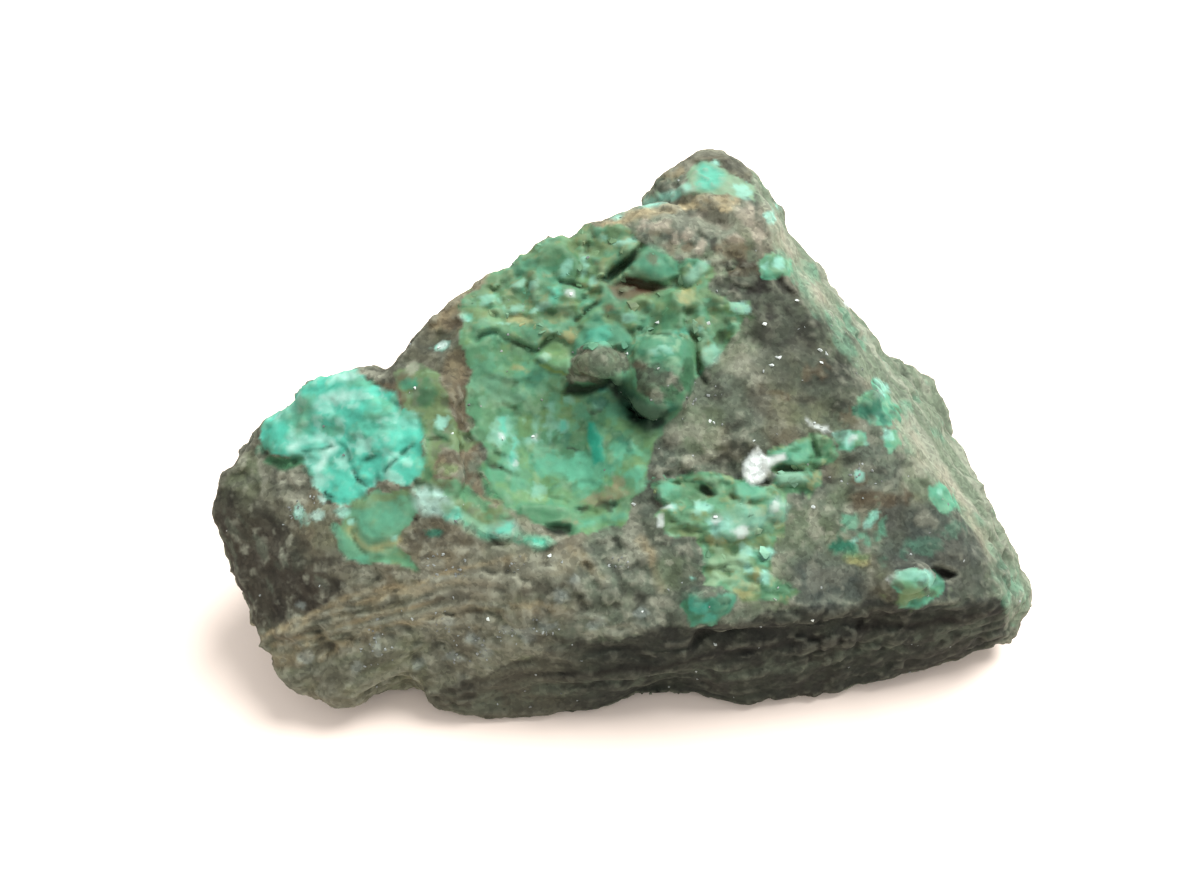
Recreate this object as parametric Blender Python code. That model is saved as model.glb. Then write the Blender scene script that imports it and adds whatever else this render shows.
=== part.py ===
"""A hand specimen of eilat stone: one broken piece of grey-brown rock, veined with green copper minerals.

The piece is a leaning pyramid. Its main face slopes towards -Y and is hollowed by a shallow scoop, with two
lumps and a dark cave at the scoop's upper right. A low lobe stands out to -X, a rounded cap tops the apex, and
a long flank falls away to +X. The front, below the main face, is a steep band of bedded rock. Metres, +Z up,
origin under the middle of the piece, at the height that it rests on.
"""
import bpy
import bmesh
import numpy as np
from math import cos, radians, sin
from mathutils import Matrix, Vector, noise

# Driving dimensions
MM = 0.001
VOXEL = 0.5 * MM            # grid on which the blocks grow together
TRIANGLES = 8600            # of the finished solid
SKIN = 0.18 * MM            # what the skin gains, because growing together rounds the blocks' corners
FACE_SLOPE = radians(34)    # of the main face against the ground
FACE_MIDDLE = (-5.9, -4.5, 16.9)    # middle of the scoop, mm
BED_SLOPE = radians(4)      # of the bedding, rising to +X
BED_PITCH = 1.9 * MM
BED_DEPTH = 0.34 * MM
BED_STEEP = 0.62            # upward share of the normal below which the beds begin to show
SWELL_WIDTH, SWELL_HEIGHT = 11 * MM, 0.45 * MM      # broad weathering of the whole skin
KNOB_WIDTH, KNOB_HEIGHT = 4 * MM, 0.32 * MM         # finer weathering, mostly off the chipped patches

# Broken blocks, each the convex hull of its corners, in mm: x to the right, y to the back, z up from the ground
HILL = [
    # along the upper left edge, from the saddle by the lobe up to the neck under the cap
    (-17.3, -0.6, 19.8), (-13.5, 3.7, 21.9), (-10.2, 6.4, 23.5), (-6.2, 8.2, 24.8), (-1.7, 9.2, 25.7),
    # neck
    (2.6, 11.4, 25.9), (9.6, 10.5, 25.0),
    # ridge between the main face and the flank
    (10.5, 8.5, 24.8), (14.5, 1.5, 20.3), (18.5, -2.5, 16.0), (22.5, -5.5, 12.5), (26.5, -10.0, 9.0),
    # right tip
    (30.8, -9.0, 4.5), (29.8, -10.8, 2.4), (29.4, -6.5, 6.0),
    # outer edge of the flank
    (12.5, 13.6, 23.1), (28.2, 2.0, 8.5), (29.0, -1.5, 7.5), (20.6, 8.9, 15.0),
    # lower edge of the main face
    (-10.5, -11.0, 12.3), (-4.5, -13.4, 10.6), (0.5, -14.9, 9.6), (7.0, -14.5, 9.5), (12.0, -13.5, 9.5),
    (18.0, -12.5, 9.5), (22.0, -12.8, 9.0), (26.5, -11.5, 8.5), (-18.0, -12.0, 9.8),
    # foot of the front
    (-14.5, -16.3, 0.6), (-11.5, -16.6, 0.0), (-5.0, -16.6, 0.0), (0.0, -16.0, 0.4), (7.0, -15.5, 0.4),
    (12.5, -15.3, 0.0), (18.5, -14.3, 0.5), (24.5, -12.6, 1.7), (28.8, -11.6, 3.2),
    # broken back
    (-15.0, 6.0, 1.0), (-4.0, 12.5, 0.0), (8.0, 18.0, 1.0), (19.0, 14.0, 1.0), (27.5, 4.0, 1.0),
    (13.5, 16.2, 14.5), (5.0, 18.0, 17.0), (-6.0, 11.5, 14.0),
]
CAP = [
    (5.5, 11.0, 26.8), (2.4, 13.9, 26.6), (1.7, 14.7, 24.4), (6.8, 16.5, 28.4), (9.8, 14.6, 27.4),
    (10.9, 9.0, 25.2), (12.7, 14.0, 23.9), (7.0, 18.3, 20.0), (1.0, 12.0, 20.0), (12.0, 8.0, 20.0),
    (12.0, 16.5, 18.0), (8.5, 18.2, 24.0),
]
LOBE = [
    (-30.4, -6.5, 12.0), (-29.5, -8.0, 9.0), (-26.7, -11.7, 6.0),
    (-28.3, -3.6, 14.0), (-25.8, -2.5, 17.2), (-23.0, -1.1, 18.8), (-19.1, -0.5, 19.8),
    (-27.0, -5.0, 14.6), (-23.5, -7.0, 14.4), (-20.5, -10.2, 12.8), (-18.2, -12.1, 10.6),
    (-12.0, -2.0, 19.9), (-12.0, -8.0, 15.9), (-12.0, -11.5, 11.5),
    (-23.5, -16.6, 3.0), (-20.5, -17.0, 2.6), (-24.8, -15.3, 4.4), (-23.3, -13.7, 8.0),
    (-21.0, -14.5, 1.2), (-14.0, -14.5, 0.6), (-24.0, -8.0, 2.4), (-28.3, -4.0, 7.5),
    (-24.0, 3.0, 9.0), (-19.0, 5.0, 4.0), (-12.0, 5.0, 8.0), (-18.0, 3.5, 16.0),
]
SHOULDER = [
    (22.8, 8.2, 14.4), (26.4, 8.0, 11.9), (27.6, 6.5, 9.5), (21.0, 3.0, 12.5), (24.5, 10.5, 5.0),
    (19.0, 12.0, 11.0), (27.0, 1.0, 5.0), (28.5, 3.0, 6.0),
]

# Outlines on the main face, as (across, up) in mm from the scoop's middle: lumps that stand on it, then pits
LEFT_LUMP = [(1.6, 4.6), (1.9, 6.1), (3.2, 6.6), (4.7, 6.4), (5.4, 5.3), (5.2, 4.1), (3.6, 3.7), (2.2, 3.8)]
RIGHT_LUMP = [
    (6.0, 5.3), (6.4, 6.8), (7.8, 7.4), (9.5, 7.2), (10.3, 5.8), (10.2, 3.6), (9.6, 2.2), (8.2, 1.8), (6.8, 2.5),
    (5.9, 3.8),
]
FRONT_NODULE = [(9.3, -11.2), (10.0, -10.4), (11.5, -10.1), (12.9, -10.8), (12.7, -11.8), (11.0, -12.3)]
RIGHT_NODULE = [(23.5, -9.8), (24.4, -9.0), (26.1, -8.8), (26.9, -9.8), (26.3, -10.8), (24.6, -11.1)]
CAVE = [(4.3, 4.5), (4.8, 3.0), (5.9, 1.4), (7.6, 0.4), (9.0, 1.6), (9.1, 2.8), (6.7, 3.6)]
UNDER_LUMP = [(1.2, 4.6), (1.6, 3.3), (3.2, 3.3), (4.7, 3.7), (4.5, 4.8)]
UPPER_CLEFT = [(3.9, 11.4), (4.2, 12.6), (5.8, 13.7), (6.9, 15.0), (7.4, 14.5), (6.4, 12.6), (5.0, 11.4)]
RED_PIT = [(5.8, 12.0), (7.6, 12.3), (9.2, 11.8), (9.0, 10.8), (7.5, 10.3), (6.1, 10.6)]

# With each outline, the lump's height or the pit's depth in mm
LUMPS = [
    ("left lump", LEFT_LUMP, 1.6), ("right lump", RIGHT_LUMP, 1.0), ("front nodule", FRONT_NODULE, 0.6),
    ("right nodule", RIGHT_NODULE, 0.1),
]
PITS = [
    ("cave", CAVE, 4.0), ("under lump", UNDER_LUMP, 2.8), ("upper cleft", UPPER_CLEFT, 1.8),
    ("red pit", RED_PIT, 1.3),
]

# Hollows and swellings of the skin: centre, radius and height in mm. A height below zero is a hollow.
SWELLINGS = [
    ((-5.9, -4.5, 16.9), 8.6, -2.2),     # scoop in the main face
    ((-2.5, -9.0, 14.5), 4.5, -0.5),     # its lower lip
    ((-1.0, 13.5, 26.5), 4.0, -0.6),     # neck under the cap
    ((-16.8, -17.0, 1.5), 3.6, -1.6),    # notch in the foot, left
    ((2.8, -16.5, 0.5), 5.5, -1.6),      # notch in the foot, middle
]

# Grooves worn along the softer beds of the front: two ends, reach to each side and depth, in mm
GROOVES = [
    ((5.0, -15.3, 8.2), (23.0, -13.4, 8.0), 1.1, 0.7),
    ((-9.0, -17.0, 3.4), (6.0, -16.0, 4.6), 1.0, 0.6),
    ((-22.0, -14.8, 6.6), (-9.0, -13.6, 9.3), 0.9, 0.4),
]

# Patches of mineral that broke into flat chips: centre, radius, chip width and step between chips, in mm
CHIPPED = [
    ((-19.6, -4.4, 16.8), 8.0, 3.4, 0.55),
    ((-6.0, 5.5, 23.5), 9.5, 2.9, 0.6),
    ((-5.9, -4.5, 15.5), 7.5, 4.2, 0.4),
    ((8.5, -7.5, 14.3), 7.0, 2.8, 0.5),
    ((6.0, 4.0, 22.3), 6.0, 3.2, 0.5),
]


def linked(name, bm):
    """A new object for a finished bmesh, which it frees."""
    mesh = bpy.data.meshes.new(name)
    bm.to_mesh(mesh)
    bm.free()
    thing = bpy.data.objects.new(name, mesh)
    bpy.context.scene.collection.objects.link(thing)
    return thing


def block(name, corners):
    """The convex hull of corners in mm."""
    bm = bmesh.new()
    for corner in corners:
        bm.verts.new(Vector(corner) * MM)
    bmesh.ops.convex_hull(bm, input=bm.verts)
    bmesh.ops.delete(bm, geom=[v for v in bm.verts if not v.link_faces], context='VERTS')
    bmesh.ops.recalc_face_normals(bm, faces=bm.faces)
    return linked(name, bm)


def on_face(across, up, out):
    """A point by its place on the main face, in mm: right of the scoop's middle, up the slope, and outwards."""
    back = up * cos(FACE_SLOPE) - out * sin(FACE_SLOPE)
    rise = up * sin(FACE_SLOPE) + out * cos(FACE_SLOPE)
    return Vector(FACE_MIDDLE) + Vector((across, back, rise))


def face_block(name, outline, rings):
    """A block on the main face. Each ring repeats the outline with a scale, a shift up the slope and a height."""
    middle = sum((Vector(point) for point in outline), Vector((0, 0))) / len(outline)
    corners = []
    for scale, shift, out in rings:
        for point in outline:
            across, up = middle + (Vector(point) - middle) * scale
            corners.append(on_face(across, up + shift, out))
    return block(name, corners)


def lump(name, outline, height):
    """A rounded lump that leans out over its lower side."""
    return face_block(name, outline, [(0.75, 0.6, -4.5), (1.0, 0.0, height - 0.7), (0.6, 0.1, height)])


def pit(name, outline, depth):
    """A cutter for a pit that runs in under its upper side."""
    return face_block(name, outline, [(1.1, -0.3, 3.0), (1.0, 0.0, 0.3), (0.55, 0.6, -depth)])


def combine(thing, other, operation):
    """Joins another block to the stone, or cuts it away, and hides the block."""
    step = thing.modifiers.new(operation.lower() + " " + other.name, 'BOOLEAN')
    step.operation = operation
    step.object = other
    other.hide_render = True
    other.display_type = 'WIRE'


def apply_modifiers(thing):
    """Makes the modified mesh the object's own."""
    shown = thing.evaluated_get(bpy.context.evaluated_depsgraph_get())
    modified = bpy.data.meshes.new_from_object(shown)
    thing.modifiers.clear()
    thing.data = modified


def keep_outer_skin(thing):
    """Drops the pockets that a lump has closed over: of the separate shells, the one with most points stays."""
    bm = bmesh.new()
    bm.from_mesh(thing.data)
    left = set(bm.verts)
    shells = []
    while left:
        shell = {left.pop()}
        edge = list(shell)
        while edge:
            near = {e.other_vert(v) for v in edge for e in v.link_edges} & left
            left -= near
            shell |= near
            edge = list(near)
        shells.append(shell)
    shells.sort(key=len)
    pockets = [v for shell in shells[:-1] for v in shell]
    bmesh.ops.delete(bm, geom=pockets, context='VERTS')
    bm.to_mesh(thing.data)
    bm.free()


def fall_off(points, centre, radius):
    """1 at the centre and 0 at the radius, smooth at both ends."""
    apart = np.linalg.norm(points - np.array(centre) * MM, axis=1) / (radius * MM)
    inside = np.clip(1.0 - apart * apart, 0.0, 1.0)
    return inside * inside


def along_line(points, start, end, reach):
    """1 on the line between two ends and 0 at its reach to each side."""
    start = np.array(start) * MM
    run = np.array(end) * MM - start
    part = np.clip((points - start) @ run / (run @ run), 0.0, 1.0)
    apart = np.linalg.norm(points - start - part[:, None] * run, axis=1) / (reach * MM)
    return np.clip(1.0 - apart * apart, 0.0, 1.0)


def weathering(points, width, seed):
    """Soft random heights between about -1 and 1, with swells of the given width in metres."""
    shift = Vector((seed, seed * 0.37, -seed))
    return np.array([noise.fractal(Vector(p) / width + shift, 1.0, 2.1, 3) for p in points])


def chip_heights(points, width, seed):
    """Heights of flat chips. Space is parted into cells, and each has its own height and slant."""
    shift = Vector((seed, -seed, seed * 0.61))
    heights = np.empty(len(points))
    for i, point in enumerate(points):
        place = Vector(point) / width + shift
        cell = noise.voronoi(place)[1][0]
        height = noise.cell(cell * 3.1) - 0.5
        slant = noise.cell_vector(cell * 7.3) - Vector((0.5, 0.5, 0.5))
        heights[i] = 0.55 * height + 0.9 * (place - cell).dot(slant)
    return heights


def bedding_heights(points):
    """Ledges of the bedding: each bed stands out at its top and falls back below, and they fade in places."""
    up = Matrix.Rotation(-BED_SLOPE, 3, 'Y') @ Vector((0, 0, 1))
    beds = points @ np.array(up) / BED_PITCH + 0.8 * weathering(points, 9 * MM, 4.2)
    part = beds - np.floor(beds)
    showing = np.clip(0.55 + 0.9 * weathering(points, 13 * MM, 6.6), 0.1, 1.0)
    return showing * (np.clip(part * 1.5, 0.0, 1.0) - 0.5)


def shape_skin(thing):
    """Moves the skin in and out: hollows, chips, bedding and weathering."""
    mesh = thing.data
    count = len(mesh.vertices)
    points = np.empty(count * 3)
    mesh.vertices.foreach_get("co", points)
    points = points.reshape(-1, 3)
    normals = np.empty(count * 3)
    mesh.vertices.foreach_get("normal", normals)
    normals = normals.reshape(-1, 3)
    out = np.full(count, SKIN)
    for centre, radius, height in SWELLINGS:
        out += height * MM * fall_off(points, centre, radius)
    for start, end, reach, depth in GROOVES:
        out -= depth * MM * along_line(points, start, end, reach)
    chipped = np.zeros(count)
    for number, (centre, radius, width, step) in enumerate(CHIPPED):
        share = np.clip(1.8 * fall_off(points, centre, radius), 0.0, 1.0)
        out += share * step * MM * chip_heights(points, width * MM, 3.0 + number)
        chipped = np.maximum(chipped, share)
    steep = np.clip(4.0 * (BED_STEEP - normals[:, 2]), 0.0, 1.0)
    out += steep * (1.0 - chipped) * BED_DEPTH * bedding_heights(points)
    out += SWELL_HEIGHT * weathering(points, SWELL_WIDTH, 1.7)
    out += (1.0 - 0.6 * chipped) * KNOB_HEIGHT * weathering(points, KNOB_WIDTH, 8.3)
    points += normals * out[:, None]
    mesh.vertices.foreach_set("co", points.ravel())
    mesh.update()


def stand(thing):
    """Cuts the foot flat at the ground and moves the origin under the middle of the piece."""
    ground = [(x, y, z) for x in (-50, 50) for y in (-50, 50) for z in (-20, 0)]
    combine(thing, block("ground", ground), 'DIFFERENCE')
    apply_modifiers(thing)
    across = [v.co.x for v in thing.data.vertices]
    deep = [v.co.y for v in thing.data.vertices]
    middle = Vector(((min(across) + max(across)) / 2, (min(deep) + max(deep)) / 2, 0))
    thing.data.transform(Matrix.Translation(-middle))
    print("moved back by", middle / MM, "mm")


def rock_material():
    """Rough, dull rock, green on the whole with its copper minerals."""
    material = bpy.data.materials.new("rock with copper minerals")
    material.use_nodes = True
    surface = material.node_tree.nodes["Principled BSDF"]
    surface.inputs["Base Color"].default_value = (0.10, 0.16, 0.11, 1.0)
    surface.inputs["Roughness"].default_value = 0.8
    surface.inputs["Metallic"].default_value = 0.0
    return material


def build_stone():
    """Joins the blocks, cuts the hollows, shapes the skin and stands the piece on its foot."""
    stone = block("stone", HILL)
    for name, corners in (("cap", CAP), ("lobe", LOBE), ("shoulder", SHOULDER)):
        combine(stone, block(name, corners), 'UNION')
    for name, outline, depth in PITS:
        combine(stone, pit(name, outline, depth), 'DIFFERENCE')
    for name, outline, height in LUMPS:
        combine(stone, lump(name, outline, height), 'UNION')
    grow = stone.modifiers.new("grow together", 'REMESH')
    grow.mode = 'VOXEL'
    grow.voxel_size = VOXEL
    apply_modifiers(stone)
    keep_outer_skin(stone)
    shape_skin(stone)
    fewer = stone.modifiers.new("fewer faces", 'DECIMATE')
    fewer.ratio = TRIANGLES / (2 * len(stone.data.polygons))
    apply_modifiers(stone)
    stand(stone)
    stone.data.materials.append(rock_material())


for old in list(bpy.data.objects):
    bpy.data.objects.remove(old)
build_stone()
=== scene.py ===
# %% [markdown]
# A hand specimen of eilat stone, in cells
#
# Eilat stone is a rock in which several copper minerals grew together: blue-green turquoise and chrysocolla, and
# green malachite, in a matrix of grey-brown sandstone. This specimen is one broken piece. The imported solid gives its
# true size and its main forms. This lesson turns that solid into a fine skin, cuts the chips, cracks and beds that a
# hand would feel, paints each mineral where it grew, and lights the piece like a studio shot.
#
# Everything is kept in one frame, in metres, with the ground at zero height.

from itertools import product
from math import cos, radians, sin

import bmesh
import bpy
import numpy as np
from mathutils import Matrix, Quaternion, Vector


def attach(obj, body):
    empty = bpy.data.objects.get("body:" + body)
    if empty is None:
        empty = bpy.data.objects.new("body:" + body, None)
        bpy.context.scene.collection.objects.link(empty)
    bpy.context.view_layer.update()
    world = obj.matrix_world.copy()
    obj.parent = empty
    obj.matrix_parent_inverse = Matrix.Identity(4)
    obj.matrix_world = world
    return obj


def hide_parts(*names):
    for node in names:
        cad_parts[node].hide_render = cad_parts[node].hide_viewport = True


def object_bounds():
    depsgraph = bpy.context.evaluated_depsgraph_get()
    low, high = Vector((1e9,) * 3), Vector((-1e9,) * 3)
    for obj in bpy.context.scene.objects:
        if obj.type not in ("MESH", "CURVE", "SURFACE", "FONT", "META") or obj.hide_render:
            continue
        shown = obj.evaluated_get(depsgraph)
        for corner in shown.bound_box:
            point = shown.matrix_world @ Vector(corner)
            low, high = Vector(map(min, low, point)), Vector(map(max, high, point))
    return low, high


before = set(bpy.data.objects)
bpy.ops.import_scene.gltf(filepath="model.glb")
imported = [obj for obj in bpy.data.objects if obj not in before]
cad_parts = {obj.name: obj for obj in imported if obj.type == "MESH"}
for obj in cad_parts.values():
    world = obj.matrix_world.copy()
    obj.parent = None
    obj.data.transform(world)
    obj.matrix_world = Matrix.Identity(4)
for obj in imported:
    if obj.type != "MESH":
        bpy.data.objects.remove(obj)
cad_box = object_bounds()
MM = 0.001
print("solid, mm:", [[round(c / MM, 1) for c in corner] for corner in cad_box])

# %% [markdown]
# The camera comes first, because the marks on the stone are placed by where they show in the picture. It could be
# placed by eye, but the square cloth under the real stone gave it exactly: its four edges meet in two vanishing
# points, and those fix the focal length and the dip. The picture is 1200 by 894 pixels, and a point's place in it is
# called (u, v), to the right and down from the top left corner.

# %% The camera
PICTURE_WIDE, PICTURE_HIGH = 1200, 894
FOCAL = 830.0                       # focal length in pixels
CAMERA_DIP = radians(45.24)         # below the horizon
CAMERA_PLACE = np.array((-2.486, -46.677, 58.0)) * MM
SENSOR = 36.0                       # mm, as wide as the picture

camera_data = bpy.data.cameras.new("camera")
camera_data.sensor_width = SENSOR
camera_data.lens = SENSOR * FOCAL / PICTURE_WIDE
camera_data.clip_start = 1 * MM
camera = bpy.data.objects.new("camera", camera_data)
camera.location = CAMERA_PLACE
camera.rotation_euler = (radians(90) - CAMERA_DIP, 0, 0)
bpy.context.scene.collection.objects.link(camera)
bpy.context.scene.camera = camera

AHEAD = np.array((0, cos(CAMERA_DIP), -sin(CAMERA_DIP)))
UPWARD = np.array((0, sin(CAMERA_DIP), cos(CAMERA_DIP)))


def in_picture(points):
    """Where points show in the picture: u and v."""
    seen = points - CAMERA_PLACE
    far = seen @ AHEAD
    return PICTURE_WIDE / 2 + FOCAL * seen[:, 0] / far, PICTURE_HIGH / 2 - FOCAL * (seen @ UPWARD) / far


print("lens, mm:", round(camera_data.lens, 2))

# %% [markdown]
# The solid has about 8,600 flat faces, each a millimetre or two across, so its skin is too coarse for chips and
# grains. Subdividing it would keep every long thin face. A voxel remesh gives an even net of small squares instead,
# which suits a rock, because a rock has no direction of its own. Some rounds of smoothing then take off the solid's
# faces. Plain averaging would also shrink the corners, so each step towards the neighbours is followed by one back.

# %% A fine, even skin
GRID = 0.215 * MM
SMOOTHING_ROUNDS = 10
LOST_TO_SMOOTHING = 0.22 * MM


def modified_mesh(thing):
    """The object's mesh with its modifiers applied."""
    shown = thing.evaluated_get(bpy.context.evaluated_depsgraph_get())
    return bpy.data.meshes.new_from_object(shown)


def fine_copy(node, name):
    """A copy of a node, welded and remeshed to small even squares."""
    bm = bmesh.new()
    bm.from_mesh(node.data)
    bmesh.ops.remove_doubles(bm, verts=bm.verts, dist=0.001 * MM)
    mesh = bpy.data.meshes.new(name)
    bm.to_mesh(mesh)
    bm.free()
    thing = bpy.data.objects.new(name, mesh)
    bpy.context.scene.collection.objects.link(thing)
    remesh = thing.modifiers.new("even net", 'REMESH')
    remesh.mode = 'VOXEL'
    remesh.voxel_size = GRID
    fine = modified_mesh(thing)
    thing.modifiers.clear()
    thing.data = fine
    return thing


def vectors(items, what):
    """A mesh's points or normals as rows of three numbers."""
    values = np.empty(len(items) * 3)
    items.foreach_get(what, values)
    return values.reshape(-1, 3)


def net_of(mesh):
    """The two ends of every edge."""
    ends = np.empty(len(mesh.edges) * 2, np.int64)
    mesh.edges.foreach_get("vertices", ends)
    return ends.reshape(-1, 2)


def spread(values, net, rounds, share=0.6):
    """Averages values with their neighbours' along the net, so that they blur."""
    values = values.copy()
    columns = values.reshape(len(values), -1)
    one, two = net.T
    degree = np.bincount(one, minlength=len(values)) + np.bincount(two, minlength=len(values))
    for _ in range(rounds):
        for column in columns.T:
            near = np.bincount(one, column[two], len(values)) + np.bincount(two, column[one], len(values))
            column += share * (near / degree - column)
    return values


def unit(rows):
    """Rows of three numbers, scaled to a length of one."""
    return rows / np.linalg.norm(rows, axis=1)[:, None]


stone = fine_copy(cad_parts["stone"], "mineral_rock")
net = net_of(stone.data)
points = vectors(stone.data.vertices, "co")
for _ in range(SMOOTHING_ROUNDS):
    points = spread(points, net, 1, 0.62)
    points = spread(points, net, 1, -0.65)
points = spread(points, net, 1)
normals = unit(spread(vectors(stone.data.vertices, "normal"), net, 16))
points += np.clip(points[:, 2:] - 0.5 * MM, 0.0, LOST_TO_SMOOTHING) * normals
print("points in the skin:", len(points))

# %% [markdown]
# Two kinds of chance shape this stone. Weathering makes soft swells, which is smooth noise: random numbers on a
# lattice, blended in between. Breaking makes flat chips with sharp borders, which is cell noise: space is parted
# among scattered middles, and each cell keeps its own numbers. Both are written out here with whole-number dice, so
# that every run gives the same stone.

# %% Dice, swells and shards


def roll(cells, seed):
    """A random number from 0 to 1 for each cell of a lattice, always the same for the same cell and seed."""
    x, y, z = (np.asarray(row).astype(np.int64).astype(np.uint32) for row in cells)
    mixed = x * np.uint32(73856093) ^ y * np.uint32(19349663) ^ z * np.uint32(83492791) ^ np.uint32(seed * 668265)
    mixed = (mixed ^ (mixed >> np.uint32(15))) * np.uint32(2246822519)
    mixed = (mixed ^ (mixed >> np.uint32(13))) * np.uint32(3266489917)
    return (mixed ^ (mixed >> np.uint32(16))) / 4294967295


def swells(points, width, seed, layers=3):
    """Smooth noise of about -1 to 1. Each layer is half as wide and half as high as the one before."""
    total = np.zeros(len(points))
    height = 1.0
    for layer in range(layers):
        place = points.T / width * 2.0 ** layer + seed * 5.17 + layer * 11.3
        home = np.floor(place)
        part = place - home
        part = part * part * (3 - 2 * part)
        for corner in product((0, 1), repeat=3):
            wx, wy, wz = (row if side else 1 - row for row, side in zip(part, corner))
            total += height * wx * wy * wz * (2 * roll(home + np.array(corner)[:, None], seed) - 1)
        height *= 0.5
    return total


def shards(points, width, seed):
    """Parts space into cells: each point's three rolls, its way from the cell's middle, and the gap to the next."""
    place = points.T / width + seed * 3.71
    home = np.floor(place)
    nearest = np.full(len(points), 9.0)
    second = nearest.copy()
    luck, way = np.zeros_like(place), np.zeros_like(place)
    for step in product((-1, 0, 1), repeat=3):
        cell = home + np.array(step)[:, None]
        rolls = np.stack([roll(cell, seed * 3 + turn) for turn in range(3)])
        apart = place - cell - rolls
        distance = np.sqrt((apart ** 2).sum(0))
        closer = distance < nearest
        second = np.where(closer, nearest, np.minimum(second, distance))
        nearest = np.where(closer, distance, nearest)
        luck[:, closer] = rolls[:, closer]
        way[:, closer] = apart[:, closer]
    return luck.T, way.T, second - nearest


def soft_step(values, low, high):
    """0 below low, 1 above high, smooth in between."""
    part = np.clip((values - low) / (high - low), 0.0, 1.0)
    return part * part * (3 - 2 * part)


print("one roll of the dice:", roll(([1], [2], [3]), 7).round(3))

# %% [markdown]
# Where each mineral grew is drawn as outlines in the picture, with only the points that the patch needs. A patch
# belongs to the skin that the camera sees, and the same pixel also lies over the stone's back, so every mask is
# multiplied by how much the skin faces the camera. The places are pushed about by a little noise first, because a
# mineral's border is never a straight line.

# %% Masks in the picture


def box_around(u, v, places, margin):
    """The points near some picture places, so that the rest needs no work."""
    us, vs = np.array(places, float).T[:2]
    near = (u > us.min() - margin) & (u < us.max() + margin) & (v > vs.min() - margin) & (v < vs.max() + margin)
    return np.flatnonzero(near)


def gap_to_course(u, v, course):
    """Each point's distance in pixels to the nearest stretch of a course."""
    nearest = np.full(len(u), 1e9)
    for (u0, v0), (u1, v1) in zip(course, course[1:]):
        du, dv = u1 - u0, v1 - v0
        part = np.clip(((u - u0) * du + (v - v0) * dv) / (du * du + dv * dv), 0.0, 1.0)
        nearest = np.minimum(nearest, np.hypot(u - u0 - part * du, v - v0 - part * dv))
    return nearest


def inside(u, v, outline, soft=3.0):
    """1 inside an outline and 0 outside, with a border about as soft as the given pixels."""
    mask = np.zeros(len(u))
    here = box_around(u, v, outline, soft)
    ring = outline + outline[:1]
    within = np.zeros(len(here), bool)
    for (u0, v0), (u1, v1) in zip(ring, ring[1:]):
        crosses = (v0 > v[here]) != (v1 > v[here])
        within ^= crosses & (u[here] < (v[here] - v0) * (u1 - u0) / ((v1 - v0) or 1e-9) + u0)
    gap = gap_to_course(u[here], v[here], ring)
    mask[here] = soft_step(np.where(within, gap, -gap), -soft, soft)
    return mask


def along(u, v, course, reach):
    """1 on a course of picture places, falling to 0 at its reach in pixels to each side."""
    mask = np.zeros(len(u))
    here = box_around(u, v, course, reach)
    mask[here] = soft_step(-gap_to_course(u[here], v[here], course), -reach, 0.0)
    return mask


def blot(u, v, uneven, middle_u, middle_v, half_wide, half_high, turn=0.0):
    """1 at the middle of an uneven oval and 0 outside it. The turn is in degrees, to the right side down."""
    mask = np.zeros(len(u))
    here = box_around(u, v, [(middle_u, middle_v)], 2 * max(half_wide, half_high))
    du, dv = u[here] - middle_u, v[here] - middle_v
    c, s = cos(radians(turn)), sin(radians(turn))
    reach = np.hypot((du * c + dv * s) / half_wide, (dv * c - du * s) / half_high)
    mask[here] = soft_step(-reach + 0.8 * uneven[here], -1.3, -0.5)
    return mask


def to_camera(points):
    """The direction from each point to the camera."""
    return unit(CAMERA_PLACE - points)


def faces_camera(points, normals):
    """1 where the skin faces the camera and 0 where it is turned away."""
    return soft_step((normals * to_camera(points)).sum(1), -0.05, 0.12)


def ragged_place(points, push):
    """Picture places, pushed about by noise as far as the given pixels."""
    u, v = in_picture(points)
    for width, share in ((2.4 * MM, 1.0), (0.9 * MM, 0.6), (0.4 * MM, 0.3)):
        u = u + push * share * swells(points, width, 31, 1)
        v = v + push * share * swells(points, width, 32, 1)
    return u, v


TURQUOISE = [
    (254, 436), (262, 420), (278, 400), (300, 384), (318, 374), (334, 364), (352, 374), (374, 385), (394, 394),
    (402, 412), (419, 417), (422, 440), (421, 468), (410, 490), (381, 480), (365, 488), (347, 504), (330, 496),
    (316, 480), (304, 465), (282, 458), (268, 456),
]
OLIVE_PATCH = [
    (356, 500), (372, 489), (400, 488), (414, 497), (416, 512), (404, 532), (400, 545), (418, 566), (404, 567),
    (388, 562), (366, 566), (352, 561), (338, 544), (332, 528), (345, 512),
]
MAIN_GREEN = [
    (458, 330), (462, 304), (478, 284), (505, 262), (535, 242), (586, 226), (626, 228), (644, 240), (664, 250),
    (684, 262), (706, 258), (712, 272), (704, 290), (730, 300), (752, 304), (742, 330), (726, 352), (706, 366),
    (694, 380), (682, 404), (668, 424), (652, 440), (644, 462), (640, 488), (626, 506), (620, 522), (576, 530),
    (540, 526), (512, 514), (496, 490), (482, 468), (484, 450), (474, 436), (466, 412), (466, 386), (476, 368),
    (462, 352),
]
VALLEY = [
    (392, 372), (415, 366), (436, 374), (444, 392), (446, 414), (456, 428), (478, 440), (462, 446), (440, 446),
    (430, 462), (432, 484), (452, 482), (474, 496), (498, 508), (522, 520), (512, 532), (480, 524), (446, 514),
    (420, 500), (424, 470), (424, 430), (404, 406), (402, 390),
]
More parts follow.
